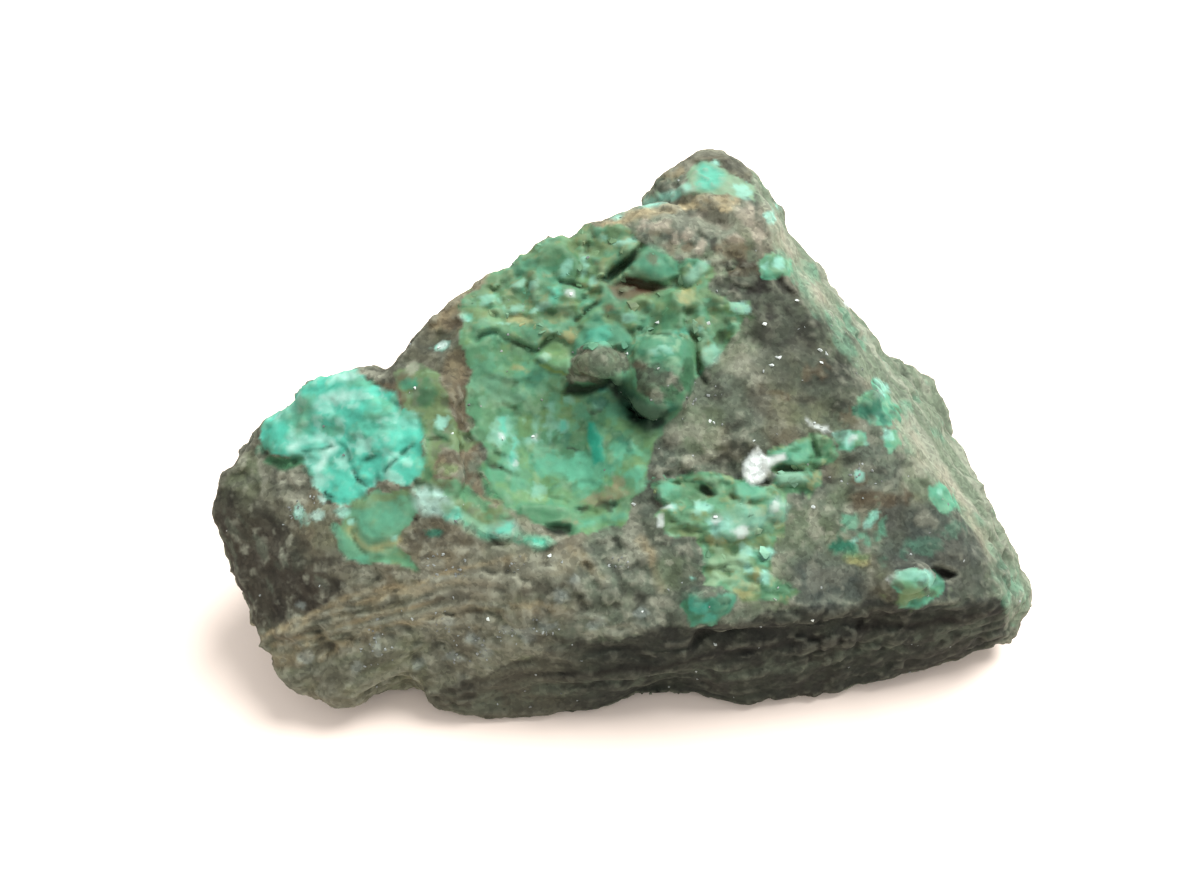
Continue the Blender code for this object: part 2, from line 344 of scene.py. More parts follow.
RIGHT_GREEN = [
    (654, 482), (672, 478), (690, 474), (706, 470), (722, 476), (742, 478), (758, 486), (774, 476), (768, 464),
    (770, 448), (796, 438), (812, 434), (828, 440), (832, 454), (820, 464), (822, 486), (812, 498), (788, 494),
    (788, 520), (778, 536), (776, 560), (780, 576), (794, 590), (786, 604), (756, 600), (738, 592), (704, 584),
    (700, 552), (694, 536), (672, 532), (658, 516), (664, 504),
]
GREEN_SPOTS = [
    [(862, 392), (872, 378), (886, 384), (892, 400), (902, 412), (890, 424), (868, 424), (858, 410)],
    [(834, 436), (846, 428), (862, 434), (866, 446), (850, 450), (838, 446)],
    [(880, 436), (896, 430), (902, 442), (890, 450)],
    [(928, 488), (938, 482), (952, 494), (956, 508), (944, 512), (934, 502)],
    [(762, 262), (774, 256), (790, 262), (792, 272), (778, 276), (764, 274)],
]
FRONT_NODULE = [(680, 604), (684, 595), (696, 592), (712, 596), (724, 591), (735, 594), (728, 608), (710, 620), (692, 620)]
RIGHT_NODULE = [(890, 588), (898, 574), (912, 566), (930, 570), (944, 580), (936, 594), (918, 604), (900, 602)]
APEX_BAND = [
    (640, 208), (648, 198), (668, 190), (688, 184), (692, 170), (704, 163), (718, 167), (736, 180), (750, 188),
    (754, 202), (742, 199), (728, 190), (706, 190), (688, 194), (664, 202),
]
LEFT_LUMP = [(571, 360), (582, 348), (604, 345), (624, 353), (628, 366), (614, 377), (592, 383), (570, 383)]
RIGHT_LUMP = [
    (640, 336), (662, 332), (682, 334), (692, 348), (694, 368), (688, 388), (676, 402), (656, 404), (642, 396),
    (632, 382), (628, 364), (634, 348),
]
CAVE = [
    (604, 379), (622, 379), (634, 393), (646, 403), (668, 407), (676, 404), (668, 418), (654, 431), (640, 425),
    (627, 411), (615, 396),
]
GAP_UNDER_LUMP = [(565, 395), (568, 384), (590, 383), (612, 378), (604, 387), (582, 396)]
CAVE_RIM = [(600, 384), (614, 392), (626, 408), (640, 424), (656, 424), (674, 412), (680, 424), (664, 442), (640, 446), (616, 434),
            (602, 408)]
FLANK = [
    (750, 168), (762, 200), (772, 240), (790, 274), (812, 310), (836, 348), (858, 378), (880, 426), (912, 462),
    (938, 488), (960, 516), (984, 556), (1000, 596), (1012, 634), (1060, 620), (1060, 560), (960, 360), (800, 150),
]
FRONT_DARK = [
    (500, 668), (560, 644), (640, 632), (720, 625), (805, 605), (884, 600), (943, 605), (1000, 600), (1012, 640),
    (900, 720), (500, 760), (400, 740), (420, 696),
]
LEFT_END = [
    (190, 500), (212, 490), (244, 492), (266, 502), (288, 522), (300, 548), (330, 576), (350, 580), (330, 604),
    (290, 622), (262, 640), (240, 650),
]

ALL_GREEN = [TURQUOISE, OLIVE_PATCH, MAIN_GREEN, VALLEY, RIGHT_GREEN, FRONT_NODULE, RIGHT_NODULE] + GREEN_SPOTS
flat_u, flat_v = in_picture(points)
print("picture of the stone: u", flat_u.min().round(), flat_u.max().round(), "v", flat_v.min().round(), flat_v.max().round())

# %% [markdown]
# The cave under the lumps has a sharp rim in the solid. On the real stone the scoop's floor slopes down into it, so
# the rim is worn away first: there alone, each point moves towards its neighbours many times.

# %% Wear the cave's rim
RIM_ROUNDS = 90
rim = inside(flat_u, flat_v, CAVE_RIM, 9.0) * faces_camera(points, normals)
for _ in range(RIM_ROUNDS):
    points += rim[:, None] * (spread(points, net, 1) - points)
stone.data.vertices.foreach_set("co", points.ravel())
stone.data.update()
normals = unit(spread(vectors(stone.data.vertices, "normal"), net, 12))
print("points worn:", int((rim > 0.1).sum()))

# %% [markdown]
# Now the skin is worked. Each mineral breaks in its own way. The turquoise crust breaks into blocks, the flaky green
# above the scoop into small tilted plates, and the scoop itself is smooth and waxy with a few broad facets. The
# rock is sandy, knobbly near the apex, fibrous at the left end and on the flank, and combed by thin beds in front.
# The beds aren't level: they rise from the left end and flatten out to the right.

# %% Ground relief by zone
BED_RISE = 8.5 * MM
BED_REACH = 22 * MM
FLANK_WAY = np.array((0.55, -0.64, -0.54))
END_WAY = np.array((0.62, -0.30, -0.72))


def bed_place(points):
    """Height across the beds, which rise to the right and flatten out."""
    return points[:, 2] - BED_RISE * (1 - np.exp(-(points[:, 0] + 26 * MM) / BED_REACH))


def drawn_out(points, way, times):
    """Points squeezed along a direction, so that noise on them comes out drawn along it."""
    return points - (1 - 1 / times) * (points @ way)[:, None] * way


def chips(points, width, seed, step, slant):
    """Heights of flat chips in mm: each cell has its own step up or down and its own slant."""
    luck, way, gap = shards(points, width * MM, seed)
    lean = (way * (luck[:, ::-1] - 0.5)).sum(1)
    return step * (luck[:, 0] - 0.5) * 2 + slant * lean * width * 2


def bed_steps(points, pitch, seed):
    """Thin beds, each standing out at its top and falling back below, from -0.5 to 0.5."""
    beds = bed_place(points) / (pitch * MM) + 0.9 * swells(points * (0.35, 0.35, 1.0), 3 * MM, seed)
    return np.clip(1.6 * (beds - np.floor(beds)), 0.0, 1.0) - 0.5


def zones_of(points, normals, sharp=0.12):
    """How much of each zone there is at each point. Noise breaks the borders up into bays and islands."""
    u, v = ragged_place(points, 3.5)
    seen = faces_camera(points, normals)
    uneven = 0.5 * swells(points, 1.3 * MM, 34, 3)

    def one_of(*outlines):
        mask = np.max([inside(u, v, outline, 9.0) for outline in outlines], axis=0)
        mask = mask + uneven * (4 * mask * (1 - mask)) ** 0.7
        return soft_step(mask, 0.5 - sharp, 0.5 + sharp) * seen

    return {
        "turquoise": one_of(TURQUOISE), "olive patch": one_of(OLIVE_PATCH), "main green": one_of(MAIN_GREEN),
        "valley": one_of(VALLEY), "right green": one_of(RIGHT_GREEN), "spots": one_of(*GREEN_SPOTS),
        "nodules": one_of(FRONT_NODULE, RIGHT_NODULE), "apex band": one_of(APEX_BAND),
        "left lump": one_of(LEFT_LUMP), "right lump": one_of(RIGHT_LUMP),
        "flank": one_of(FLANK), "front dark": one_of(FRONT_DARK), "left end": one_of(LEFT_END),
        "green": one_of(*ALL_GREEN),
    }


zones = zones_of(points, normals, 0.35)
seen = faces_camera(points, normals)
turned_away = soft_step(-(normals * to_camera(points)).sum(1), 0.1, 0.5)
lumps = np.maximum(zones["left lump"], zones["right lump"])
flaky = zones["main green"] * soft_step(0.25 * (flat_u - 560) - flat_v, -372, -335) * (1 - lumps)
scoop = np.clip(zones["main green"] - flaky - lumps, 0.0, 1.0)
heights = np.zeros(len(points))

small = chips(points, 0.8, 6, 0.05, 0.3)
crumbs = swells(points, 0.5 * MM, 11, 2)
heights += zones["turquoise"] * (chips(points, 1.7, 5, 0.05, 0.14) + 0.5 * small + 0.07 * crumbs)
heights += flaky * (chips(points, 1.2, 8, 0.08, 0.3) + 0.7 * small + 0.05 * crumbs)
flat_beds = points * (1.0, 1.7, 1.7)
heights += (zones["right green"] + 0.3 * zones["spots"]) * (chips(flat_beds, 1.2, 9, 0.08, 0.3) + 0.7 * small + 0.05 * crumbs)
waxy = scoop + zones["olive patch"]
heights += waxy * 0.13 * swells(drawn_out(points, UPWARD, 2.5), 1.6 * MM, 12, 4)
heights += waxy * chips(points, 1.8, 13, 0.03, 0.12)
heights += (zones["nodules"] + zones["spots"] + zones["apex band"]) * (0.12 * swells(points, 0.9 * MM, 14, 3) + 0.6 * small)

rock = np.clip(1.0 - zones["green"] + zones["valley"] + 0.6 * lumps, 0.0, 1.0)
knobbly = soft_step(swells(points, 5 * MM, 15, 2), -0.3, 0.5)
heights += rock * knobbly * (1 - 0.8 * zones["left end"]) * chips(points, 1.3, 16, 0.1, 0.35)
heights += rock * 0.2 * swells(points, 2.4 * MM, 17, 4)
fibres = zones["flank"] * swells(drawn_out(points, FLANK_WAY, 4), 0.9 * MM, 19)
fibres += zones["left end"] * swells(drawn_out(points, END_WAY, 4), 0.8 * MM, 20)
heights += 0.1 * fibres
left_front = soft_step(-points[:, 0] / MM, 2, 8) * soft_step(-points[:, 1] / MM, 6, 10) * (1 - zones["left end"])
steep = soft_step(-normals[:, 2], -0.75, -0.5) * rock * (1 - zones["left end"])
heights += steep * (0.11 + 0.17 * left_front) * bed_steps(points, 1.0, 21) * soft_step(swells(points, 5 * MM, 22), -0.6, 0.3)
heights += turned_away * (chips(points, 7.0, 26, 0.18, 0.06) + chips(points, 2.6, 27, 0.07, 0.08) - 0.05)
print("heights, mm:", np.percentile(heights, (1, 50, 99)).round(2))

# %% [markdown]
# Chance alone would give a stone like this one, but not this one. The plates, pits and cracks that make its face are
# placed one by one. A plate is an outline in the picture with a lift and two leans in millimetres: how much higher
# its right and its lower side stand. A lean to the lower left turns a plate to the light. Everything is pushed
# straight to the camera where the skin faces it, which leaves each mark at its place in the picture. A little
# blurring of the heights then wears the edges down, and the finest grain goes on top of that.

# %% Named plates, pits and cracks
PLATES = [
    # outline, lift, lean to the right, lean downward
    ([(533, 262), (548, 247), (562, 244), (577, 256), (582, 270), (574, 281), (556, 283), (543, 276)], 0.3, 0.1, -0.1),
    ([(596, 262), (606, 248), (620, 240), (640, 243), (630, 256), (612, 266), (600, 275)], 0.4, 0.0, 0.15),
    ([(553, 287), (563, 285), (580, 291), (578, 300), (560, 302), (552, 296)], 0.35, -0.1, 0.1),
    ([(514, 284), (519, 279), (526, 279), (529, 285), (523, 290), (516, 289)], 0.35, 0.0, 0.05),
    ([(530, 279), (539, 276), (546, 284), (541, 290), (532, 289)], 0.3, 0.0, 0.1),
    ([(478, 297), (484, 289), (494, 288), (500, 295), (497, 304), (486, 306)], 0.25, 0.0, 0.1),
    ([(499, 305), (512, 301), (528, 305), (541, 309), (538, 316), (522, 314), (506, 313)], 0.3, 0.0, 0.12),
    ([(536, 299), (556, 302), (574, 299), (576, 306), (558, 310), (540, 307)], 0.25, 0.05, 0.1),
    ([(468, 322), (484, 318), (506, 318), (528, 316), (548, 322), (558, 330), (551, 337), (537, 348), (525, 342),
      (513, 337), (498, 329), (480, 331)], 0.45, 0.0, 0.15),
    ([(553, 326), (562, 319), (573, 324), (575, 335), (566, 341), (556, 337)], 0.35, -0.1, 0.1),
    ([(538, 352), (553, 342), (566, 346), (571, 358), (570, 375), (556, 372), (543, 367), (535, 360)], 0.35, 0.0, 0.15),
    ([(594, 312), (604, 318), (618, 324), (632, 336), (630, 346), (612, 349), (590, 348), (574, 352), (573, 338),
      (580, 324)], 0.35, -0.05, 0.2),
    ([(600, 302), (614, 303), (622, 312), (612, 318), (600, 312)], 0.2, 0.1, 0.0),
    ([(618, 308), (632, 308), (641, 316), (640, 326), (630, 332), (620, 322)], 0.3, 0.05, 0.1),
    ([(655, 296), (665, 289), (674, 291), (682, 305), (686, 320), (680, 332), (664, 333), (650, 330), (643, 320),
      (651, 310)], 0.3, 0.25, -0.15),
    ([(628, 264), (638, 253), (650, 243), (664, 250), (677, 262), (679, 274), (664, 281), (650, 280), (637, 275)],
     0.45, 0.0, 0.1),
    ([(680, 277), (690, 270), (702, 262), (712, 261), (708, 271), (697, 279), (686, 284)], 0.35, 0.0, 0.1),
    ([(672, 292), (680, 285), (692, 288), (697, 300), (688, 308), (676, 303)], 0.4, -0.1, 0.1),
    ([(726, 307), (740, 302), (754, 306), (748, 313), (732, 314)], 0.3, 0.0, 0.1),
    ([(686, 322), (698, 318), (712, 326), (716, 338), (704, 346), (699, 360), (694, 342)], 0.3, 0.1, 0.0),
    ([(700, 350), (712, 344), (722, 352), (718, 362), (706, 366), (699, 360)], 0.3, -0.1, 0.1),
    ([(487, 342), (500, 338), (514, 344), (524, 350), (534, 362), (530, 376), (505, 380), (485, 372), (478, 356)],
     0.1, 0.0, 0.15),
    ([(588, 424), (596, 424), (602, 440), (601, 462), (592, 468), (589, 448)], 0.22, 0.1, 0.0),
    ([(520, 506), (545, 502), (572, 505), (577, 515), (560, 521), (534, 522), (522, 516)], 0.3, 0.0, -0.1),
    ([(770, 452), (795, 442), (809, 438), (812, 450), (808, 462), (790, 465), (775, 462)], 0.5, 0.0, 0.15),
    ([(812, 436), (826, 438), (832, 450), (822, 458), (815, 452)], 0.35, 0.1, 0.0),
    ([(775, 474), (790, 471), (802, 473), (806, 480), (792, 486), (776, 484)], 0.4, 0.0, 0.1),
    ([(805, 472), (820, 478), (819, 492), (806, 489)], 0.3, 0.1, 0.0),
    ([(734, 484), (748, 480), (766, 488), (764, 498), (744, 502), (733, 495)], 0.35, -0.1, 0.15),
    ([(701, 474), (714, 472), (723, 480), (716, 490), (706, 484)], 0.4, 0.0, 0.1),
    ([(655, 484), (668, 481), (680, 488), (681, 497), (668, 503), (658, 498)], 0.35, -0.1, 0.1),
    ([(666, 506), (690, 500), (712, 502), (728, 510), (720, 524), (700, 528), (680, 524)], 0.3, 0.0, 0.15),
    ([(722, 512), (744, 504), (762, 508), (770, 520), (758, 534), (736, 540), (718, 532)], 0.4, -0.05, 0.15),
    ([(766, 502), (778, 498), (788, 508), (782, 522), (770, 520)], 0.4, 0.0, 0.1),
    ([(736, 552), (752, 546), (762, 554), (754, 566), (740, 564)], 0.3, 0.0, 0.1),
    ([(760, 572), (770, 570), (778, 580), (774, 592), (764, 588)], 0.35, 0.0, 0.1),
    ([(262, 440), (274, 424), (286, 410), (292, 414), (288, 430), (280, 448), (267, 454)], 0.2, 0.1, 0.1),
    ([(330, 470), (345, 462), (357, 476), (366, 486), (348, 502), (332, 496), (326, 482)], 0.2, 0.0, 0.1),
    ([(384, 468), (398, 460), (414, 454), (420, 470), (410, 490), (396, 484), (384, 478)], 0.2, 0.05, 0.1),
    ([(380, 430), (398, 420), (414, 432), (414, 446), (396, 456), (382, 448)], 0.2, 0.0, 0.1),
    ([(345, 380), (372, 386), (394, 396), (392, 414), (366, 420), (344, 410), (330, 398)], 0.15, 0.0, 0.1),
    ([(356, 504), (376, 494), (398, 496), (410, 508), (404, 528), (388, 540), (368, 540), (354, 524)], 0.25, 0.0, 0.1),
    ([(480, 525), (492, 520), (506, 523), (518, 520), (523, 527), (514, 537), (500, 538), (488, 532)], 0.35, 0.0, 0.1),
    ([(524, 541), (534, 534), (550, 535), (558, 541), (548, 548), (532, 549)], 0.35, 0.0, 0.1),
    ([(743, 477), (744, 463), (751, 452), (758, 446), (766, 456), (785, 453), (786, 459), (770, 467), (764, 481),
      (752, 485)], 0.3, 0.0, 0.1),
]
PITS = [
    # outline, depth, softness in pixels
    (CAVE, -0.5, 9.0), (GAP_UNDER_LUMP, 0.7, 4.0),
    ([(607, 285), (626, 276), (649, 283), (672, 285), (655, 294), (632, 297), (615, 296)], 0.5, 3.0),
    ([(600, 278), (616, 266), (630, 255), (643, 243), (634, 258), (620, 272), (608, 282)], 0.7, 3.0),
    ([(718, 334), (728, 332), (733, 342), (724, 350), (717, 344)], 0.3, 2.5),
    ([(545, 524), (556, 521), (572, 524), (574, 530), (560, 534), (548, 529)], 0.5, 3.0),
    ([(770, 467), (790, 466), (812, 470), (800, 472), (778, 473)], 0.5, 2.0),
    ([(698, 484), (706, 487), (714, 496), (708, 499), (700, 492)], 0.6, 2.0),
    ([(933, 566), (942, 567), (956, 574), (950, 578), (940, 576)], 0.8, 2.0),
    ([(266, 460), (284, 458), (302, 460), (292, 468), (276, 470)], 0.35, 3.0),
]
TRIMS = [
    # outline, depth, softness in pixels, on both sides of the stone's outline
    ([(380, 345), (415, 330), (448, 310), (456, 330), (436, 352), (404, 368), (380, 368)], 0.4, 9.0),
    ([(884, 336), (905, 338), (936, 346), (950, 372), (926, 372), (904, 364), (886, 352)], 0.55, 10.0),
]
CRACKS = [
    # course, reach in pixels, depth
    ([(478, 340), (486, 333), (499, 330), (514, 338), (525, 343), (536, 350), (551, 336)], 3.5, 0.4),
    ([(575, 320), (586, 311), (598, 301)], 3.5, 0.5),
    ([(560, 285), (577, 286), (598, 290)], 3.5, 0.35),
    ([(640, 330), (655, 333), (680, 335)], 3.0, 0.35),
    ([(684, 322), (692, 338), (696, 357), (699, 372), (706, 383)], 3.5, 0.5),
    ([(478, 455), (488, 462), (498, 468)], 4.0, 0.35), ([(498, 467), (515, 476)], 3.0, 0.3),
    ([(500, 401), (514, 409)], 2.5, 0.2), ([(536, 362), (552, 371), (571, 377)], 3.0, 0.3),
    ([(343, 446), (350, 456), (356, 468)], 3.0, 0.12), ([(355, 470), (359, 477), (366, 484)], 2.5, 0.3),
    ([(361, 465), (370, 459), (376, 456)], 3.5, 0.2), ([(380, 470), (388, 463), (400, 455), (413, 447)], 3.0, 0.22),
    ([(580, 509), (592, 508)], 4.0, 0.35), ([(598, 502), (608, 507), (616, 506)], 4.0, 0.35),
    ([(352, 530), (358, 546), (366, 553)], 3.0, 0.25), ([(683, 478), (698, 484)], 3.0, 0.3),
    ([(812, 432), (813, 446), (818, 456)], 3.0, 0.4), ([(822, 466), (812, 470)], 3.0, 0.2),
    ([(668, 520), (690, 526), (704, 534)], 3.0, 0.25),
    ([(776, 276), (790, 290), (800, 300)], 4.0, 0.3), ([(835, 356), (842, 372), (850, 380)], 5.0, 0.3),
]


def with_plate(heights, u, v, outline, lift, lean_right, lean_down):
    """Heights with one plate laid on them. Half of the ground's relief still shows through it."""
    us, vs = np.array(outline, float).T
    plane = lift + lean_right * (u - us.mean()) / np.ptp(us) * 2 + lean_down * (v - vs.mean()) / np.ptp(vs) * 2
    share = inside(u, v, outline, 1.5) * seen
    return heights + share * (plane - 0.5 * heights)


WORN = 0.65                         # share of a plate's height that wear has left
near_u, near_v = ragged_place(points, 2.6)
for outline, lift, lean_right, lean_down in PLATES:
    heights = with_plate(heights, near_u, near_v, outline, WORN * lift, lean_right, lean_down)
for outline, depth, soft in PITS:
    heights -= depth * inside(near_u, near_v, outline, soft) * seen
for outline, depth, soft in TRIMS:
    heights -= depth * inside(flat_u, flat_v, outline, soft)
ragged_depth = 0.45 + 0.75 * soft_step(swells(points, 0.9 * MM, 88, 2), -0.4, 0.4)
for course, reach, depth in CRACKS:
    heights -= depth * ragged_depth * along(near_u, near_v, course, reach) * seen
heights += (0.15 * inside(near_u, near_v, FRONT_NODULE, 5.0) - 0.4 * inside(near_u, near_v, RIGHT_NODULE, 9.0)) * seen

bed = bed_place(points) / MM
for middle, wide, deep, seed in ((-0.1, 0.6, 0.32, 23), (1.5, 0.45, 0.25, 24), (-1.9, 0.4, 0.16, 25)):
    groove = soft_step(-np.abs(bed - middle + 0.5 * swells(points, 5 * MM, seed, 2)), -wide, 0.0)
    broken = soft_step(swells(points, 3 * MM, seed + 5, 2), -0.35, 0.2)
    heights -= deep * groove * broken * steep * soft_step(points[:, 0] / MM, -12, -6)
heights = spread(heights, net, 1)
heights += (0.3 + 0.7 * np.clip(rock, 0.0, 1.0)) * 0.06 * swells(points, 0.45 * MM, 18, 2)
print("plates:", len(PLATES), "pits:", len(PITS), "cracks:", len(CRACKS))

# %% [markdown]
# The skin is moved once, by all the heights together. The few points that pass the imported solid's box are brought
# back to it, and the foot stays on the ground. Then the hidden half is thinned out. Collapsing edges everywhere
# would blur the chips, so a weight keeps the front as it is and lets the back and underside give up their points.

# %% Move the skin, and thin its hidden side
MOST_TRIANGLES = 197_000
look = (normals * to_camera(points)).sum(1)
push = unit(normals + soft_step(look, 0.45, 0.8)[:, None] * (to_camera(points) - normals))
moved = points + push * heights[:, None] * MM
foot = points[:, 2] < 0.25 * MM
moved[foot, 2] = points[foot, 2]
box_low, box_high = (np.array(corner) for corner in cad_box)
moved = np.clip(moved, box_low, box_high)
stone.data.vertices.foreach_set("co", moved.ravel())
stone.data.update()

group = stone.vertex_groups.new(name="hidden")
hidden = np.clip(1.0 - spread(seen, net, 10), 0.0, 1.0)
for level in range(1, 11):
    members = np.flatnonzero(np.round(hidden * 10) == level)
    group.add(members.tolist(), level / 10, 'REPLACE')
thin = stone.modifiers.new("thin", 'DECIMATE')
thin.ratio = MOST_TRIANGLES / (2 * len(stone.data.polygons))
thin.vertex_group = "hidden"
thin.vertex_group_factor = 20.0
thinned = modified_mesh(stone)
stone.modifiers.clear()
stone.vertex_groups.clear()
stone.data = thinned
print("triangles:", sum(len(p.vertices) - 2 for p in stone.data.polygons))

# %% [markdown]
# Colour is painted on the points in the order in which it lies: bare rock first, then each mineral, then rims,
# stains and pale specks. The colours are written as a picture shows them in daylight, from 0 to 255, and turned into
# the linear light that the renderer works in. The light in the scene is bright, so one exposure number takes all
# colours down together.

# %% Colours by name
EXPOSURE = 0.52


def daylight(red, green, blue):
    """A colour as a picture shows it, as linear light."""
    shown = np.array((red, green, blue)) / 255
    return EXPOSURE * np.where(shown <= 0.04045, shown / 12.92, ((shown + 0.055) / 1.055) ** 2.4)


ROCK = daylight(110, 121, 103)
ROCK_DARK = daylight(72, 77, 64)
ROCK_PALE = daylight(166, 168, 148)
ROCK_BROWN = daylight(112, 98, 76)
BEIGE = daylight(154, 143, 112)
SLATE = daylight(66, 74, 70)
BLACK = daylight(36, 33, 28)
BAND_DARK = daylight(44, 45, 40)
END_DARK = daylight(64, 58, 49)
FLANK_GREEN = daylight(126, 142, 118)
FLANK_PALE = daylight(178, 182, 162)
OLIVE = daylight(122, 146, 98)
OLIVE_DARK = daylight(52, 78, 46)
GREEN_BLACK = daylight(14, 34, 22)
GREEN_DEEP = daylight(66, 122, 84)
GREEN = daylight(98, 158, 116)
GREEN_PALE = daylight(156, 194, 156)
LIME = daylight(140, 172, 96)
SEA = daylight(98, 178, 144)
TEAL_DEEP = daylight(40, 108, 86)
TEAL = daylight(46, 168, 138)
BLUE_GREEN = daylight(92, 210, 182)
MINT = daylight(160, 226, 204)
WHITE = daylight(226, 236, 230)
CHALK = daylight(196, 240, 224)
RED_BROWN = daylight(88, 58, 38)
YELLOW = daylight(186, 178, 122)

points = vectors(stone.data.vertices, "co")
net = net_of(stone.data)
normals = unit(spread(vectors(stone.data.vertices, "normal"), net, 12))
seen = faces_camera(points, normals)
zones = zones_of(points, normals)
u, v = ragged_place(points, 3.5)
uneven = swells(points, 0.7 * MM, 33, 3)
by_turns = soft_step(swells(points, 0.8 * MM, 89, 2), -0.4, 0.3)
paint = np.tile(ROCK, (len(points), 1))
relief = vectors(stone.data.vertices, "normal")
rise = ((points - spread(points, net, 6)) * relief).sum(1) / MM
broad_rise = ((points - spread(points, net, 40)) * relief).sum(1) / MM


def lay(colour, share):
    """Lays a colour over the paint, as much as the share says at each point."""
    global paint
    share = np.clip(share, 0.0, 1.0)[:, None]
    paint = paint * (1 - share) + colour * share


def patchy(width, seed, low=-0.2, high=0.4, layers=3):
    """Noise turned into patches: 0 between them and 1 inside. The width is in mm."""
    return soft_step(swells(points, width * MM, seed, layers), low, high)


def dabs(colour, share, *blots):
    """Blots of colour: each has its middle in the picture, half its width and height, and perhaps a turn."""
    for place in blots:
        lay(colour, share * blot(u, v, uneven, *place) * seen)


def streaks(colour, share, reach, *courses):
    """Lines of colour along courses in the picture, stronger and weaker by turns."""
    for course in courses:
        lay(colour, share * (0.5 + 0.6 * by_turns) * along(u, v, course, reach) * seen)


def patches(colour, share, soft, *outlines):
    """Outlines filled with colour."""
    for outline in outlines:
        lay(colour, share * inside(u, v, outline, soft) * seen)


print("points to paint:", len(points))

# %% [markdown]
# Bare rock is grey sandstone with darker, paler and brown grains. It is painted darkest on the front band, partly as
# its own darker rock and partly as painted shade, and brown at the left end. The long flank is bleached to a pale
# grey-green. Thin beds of beige and brown run through the front.

# %% Paint the rock
bedded = np.stack([points[:, 0] * 0.45, points[:, 1] * 0.45, bed_place(points)], 1)
lay(ROCK_DARK, 0.65 * soft_step(swells(bedded, 1.2 * MM, 41, 4), -0.1, 0.5))
lay(ROCK_PALE, 0.55 * soft_step(swells(bedded, 0.9 * MM, 42, 4), 0.15, 0.7))
lay(ROCK_BROWN, 0.5 * patchy(3.6, 43, 0.0, 0.6))
lay(ROCK_BROWN, 0.3 * soft_step(-points[:, 0] / MM, 2, 10))
lay(BLACK, 0.35 * patchy(1.0, 44, 0.35, 0.9, 4))
grains = shards(points, 0.6 * MM, 40)[0]
lay(ROCK_PALE, 0.25 * soft_step(grains[:, 0], 0.84, 0.9))
lay(BLACK, 0.2 * soft_step(-grains[:, 0], -0.14, -0.1))
lay(OLIVE, 0.2 * patchy(3.0, 66, 0.0, 0.6))
lay(SLATE, 0.35 * patchy(1.6, 80, 0.0, 0.5, 4))
# The front band is painted dark: partly the rock's own darker colour, partly painted shade.
lay(BAND_DARK, 0.88 * zones["front dark"])
lay(ROCK_DARK, 0.45 * zones["front dark"] * patchy(0.8, 46, 0.0, 0.6))
lay(END_DARK, 0.85 * inside(u, v, LEFT_END, 26.0) * seen)
fibre = swells(drawn_out(points, END_WAY, 5), 0.8 * MM, 20)
lay(BLACK, 0.5 * zones["left end"] * soft_step(fibre, 0.1, 0.6))
lay(ROCK, 0.4 * zones["left end"] * soft_step(-fibre, 0.3, 0.8))

fibre = swells(drawn_out(points, FLANK_WAY, 5), 1.2 * MM, 45)
lay(FLANK_GREEN, 0.92 * zones["flank"])
lay(FLANK_PALE, 0.55 * zones["flank"] * soft_step(fibre, 0.0, 0.6))
lay(ROCK, 0.6 * zones["flank"] * soft_step(-fibre, 0.35, 0.8))
lay(SEA, 0.35 * zones["flank"] * patchy(2.2, 47, 0.2, 0.7))
streaks(daylight(180, 170, 148), 0.4, 12, [(764, 212), (800, 268), (822, 300)], [(868, 384), (905, 430), (925, 462)],
        [(940, 470), (968, 510), (990, 556)])

# %% Paint the beds


def bed_band(low, high, soft=0.25):
    """The skin between two heights across the beds, in mm, with a wavy border."""
    wavy = bed_place(points) / MM + 0.35 * swells(points, 2.5 * MM, 48, 2)
    return soft_step(wavy, low - soft, low + soft) * soft_step(-wavy, -high - soft, -high + soft)


left_front = soft_step(-points[:, 0] / MM, 2, 8) * soft_step(-points[:, 1] / MM, 6, 10) * (1 - zones["left end"])
rock = 1.0 - zones["green"]
for low, high, colour, share in (
        (6.8, 7.6, BEIGE * 1.4, 0.75), (6.1, 6.7, ROCK_BROWN * 0.8, 0.75), (4.9, 5.6, BEIGE * 1.2, 0.7), (4.6, 5.0, ROCK_BROWN, 0.7),
        (2.8, 4.2, ROCK_DARK, 0.8), (1.6, 2.2, ROCK_PALE, 0.3), (0.4, 1.2, ROCK_DARK, 0.5)):
    lay(colour, share * left_front * rock * bed_band(low, high) * patchy(2.0, 49, -0.5, 0.1))
lay(BEIGE, 0.12 * left_front * rock)
lay(ROCK_PALE, 0.1 * left_front * rock)
# A black line along the groove in the front band: partly black layers, partly painted shade in the groove.
lay(BLACK, 0.75 * zones["front dark"] * bed_band(-0.35, 0.15) * soft_step(points[:, 0] / MM, -12, -4))
lay(ROCK, 0.42 * zones["front dark"] * bed_band(-3.0, -0.8, 0.5) * patchy(0.9, 50, -0.3, 0.6))
lay(ROCK_PALE, 0.5 * rock * (1 - zones["front dark"]) * patchy(0.7, 57, 0.3, 0.8) * soft_step(-points[:, 1] / MM, 6, 10))

# %% [markdown]
# The rock about the minerals has marks of its own: the pale knobs under the apex, the dark hollow beside them, brown
# ridges between the two basins, and white specks of quartz dust on the front.

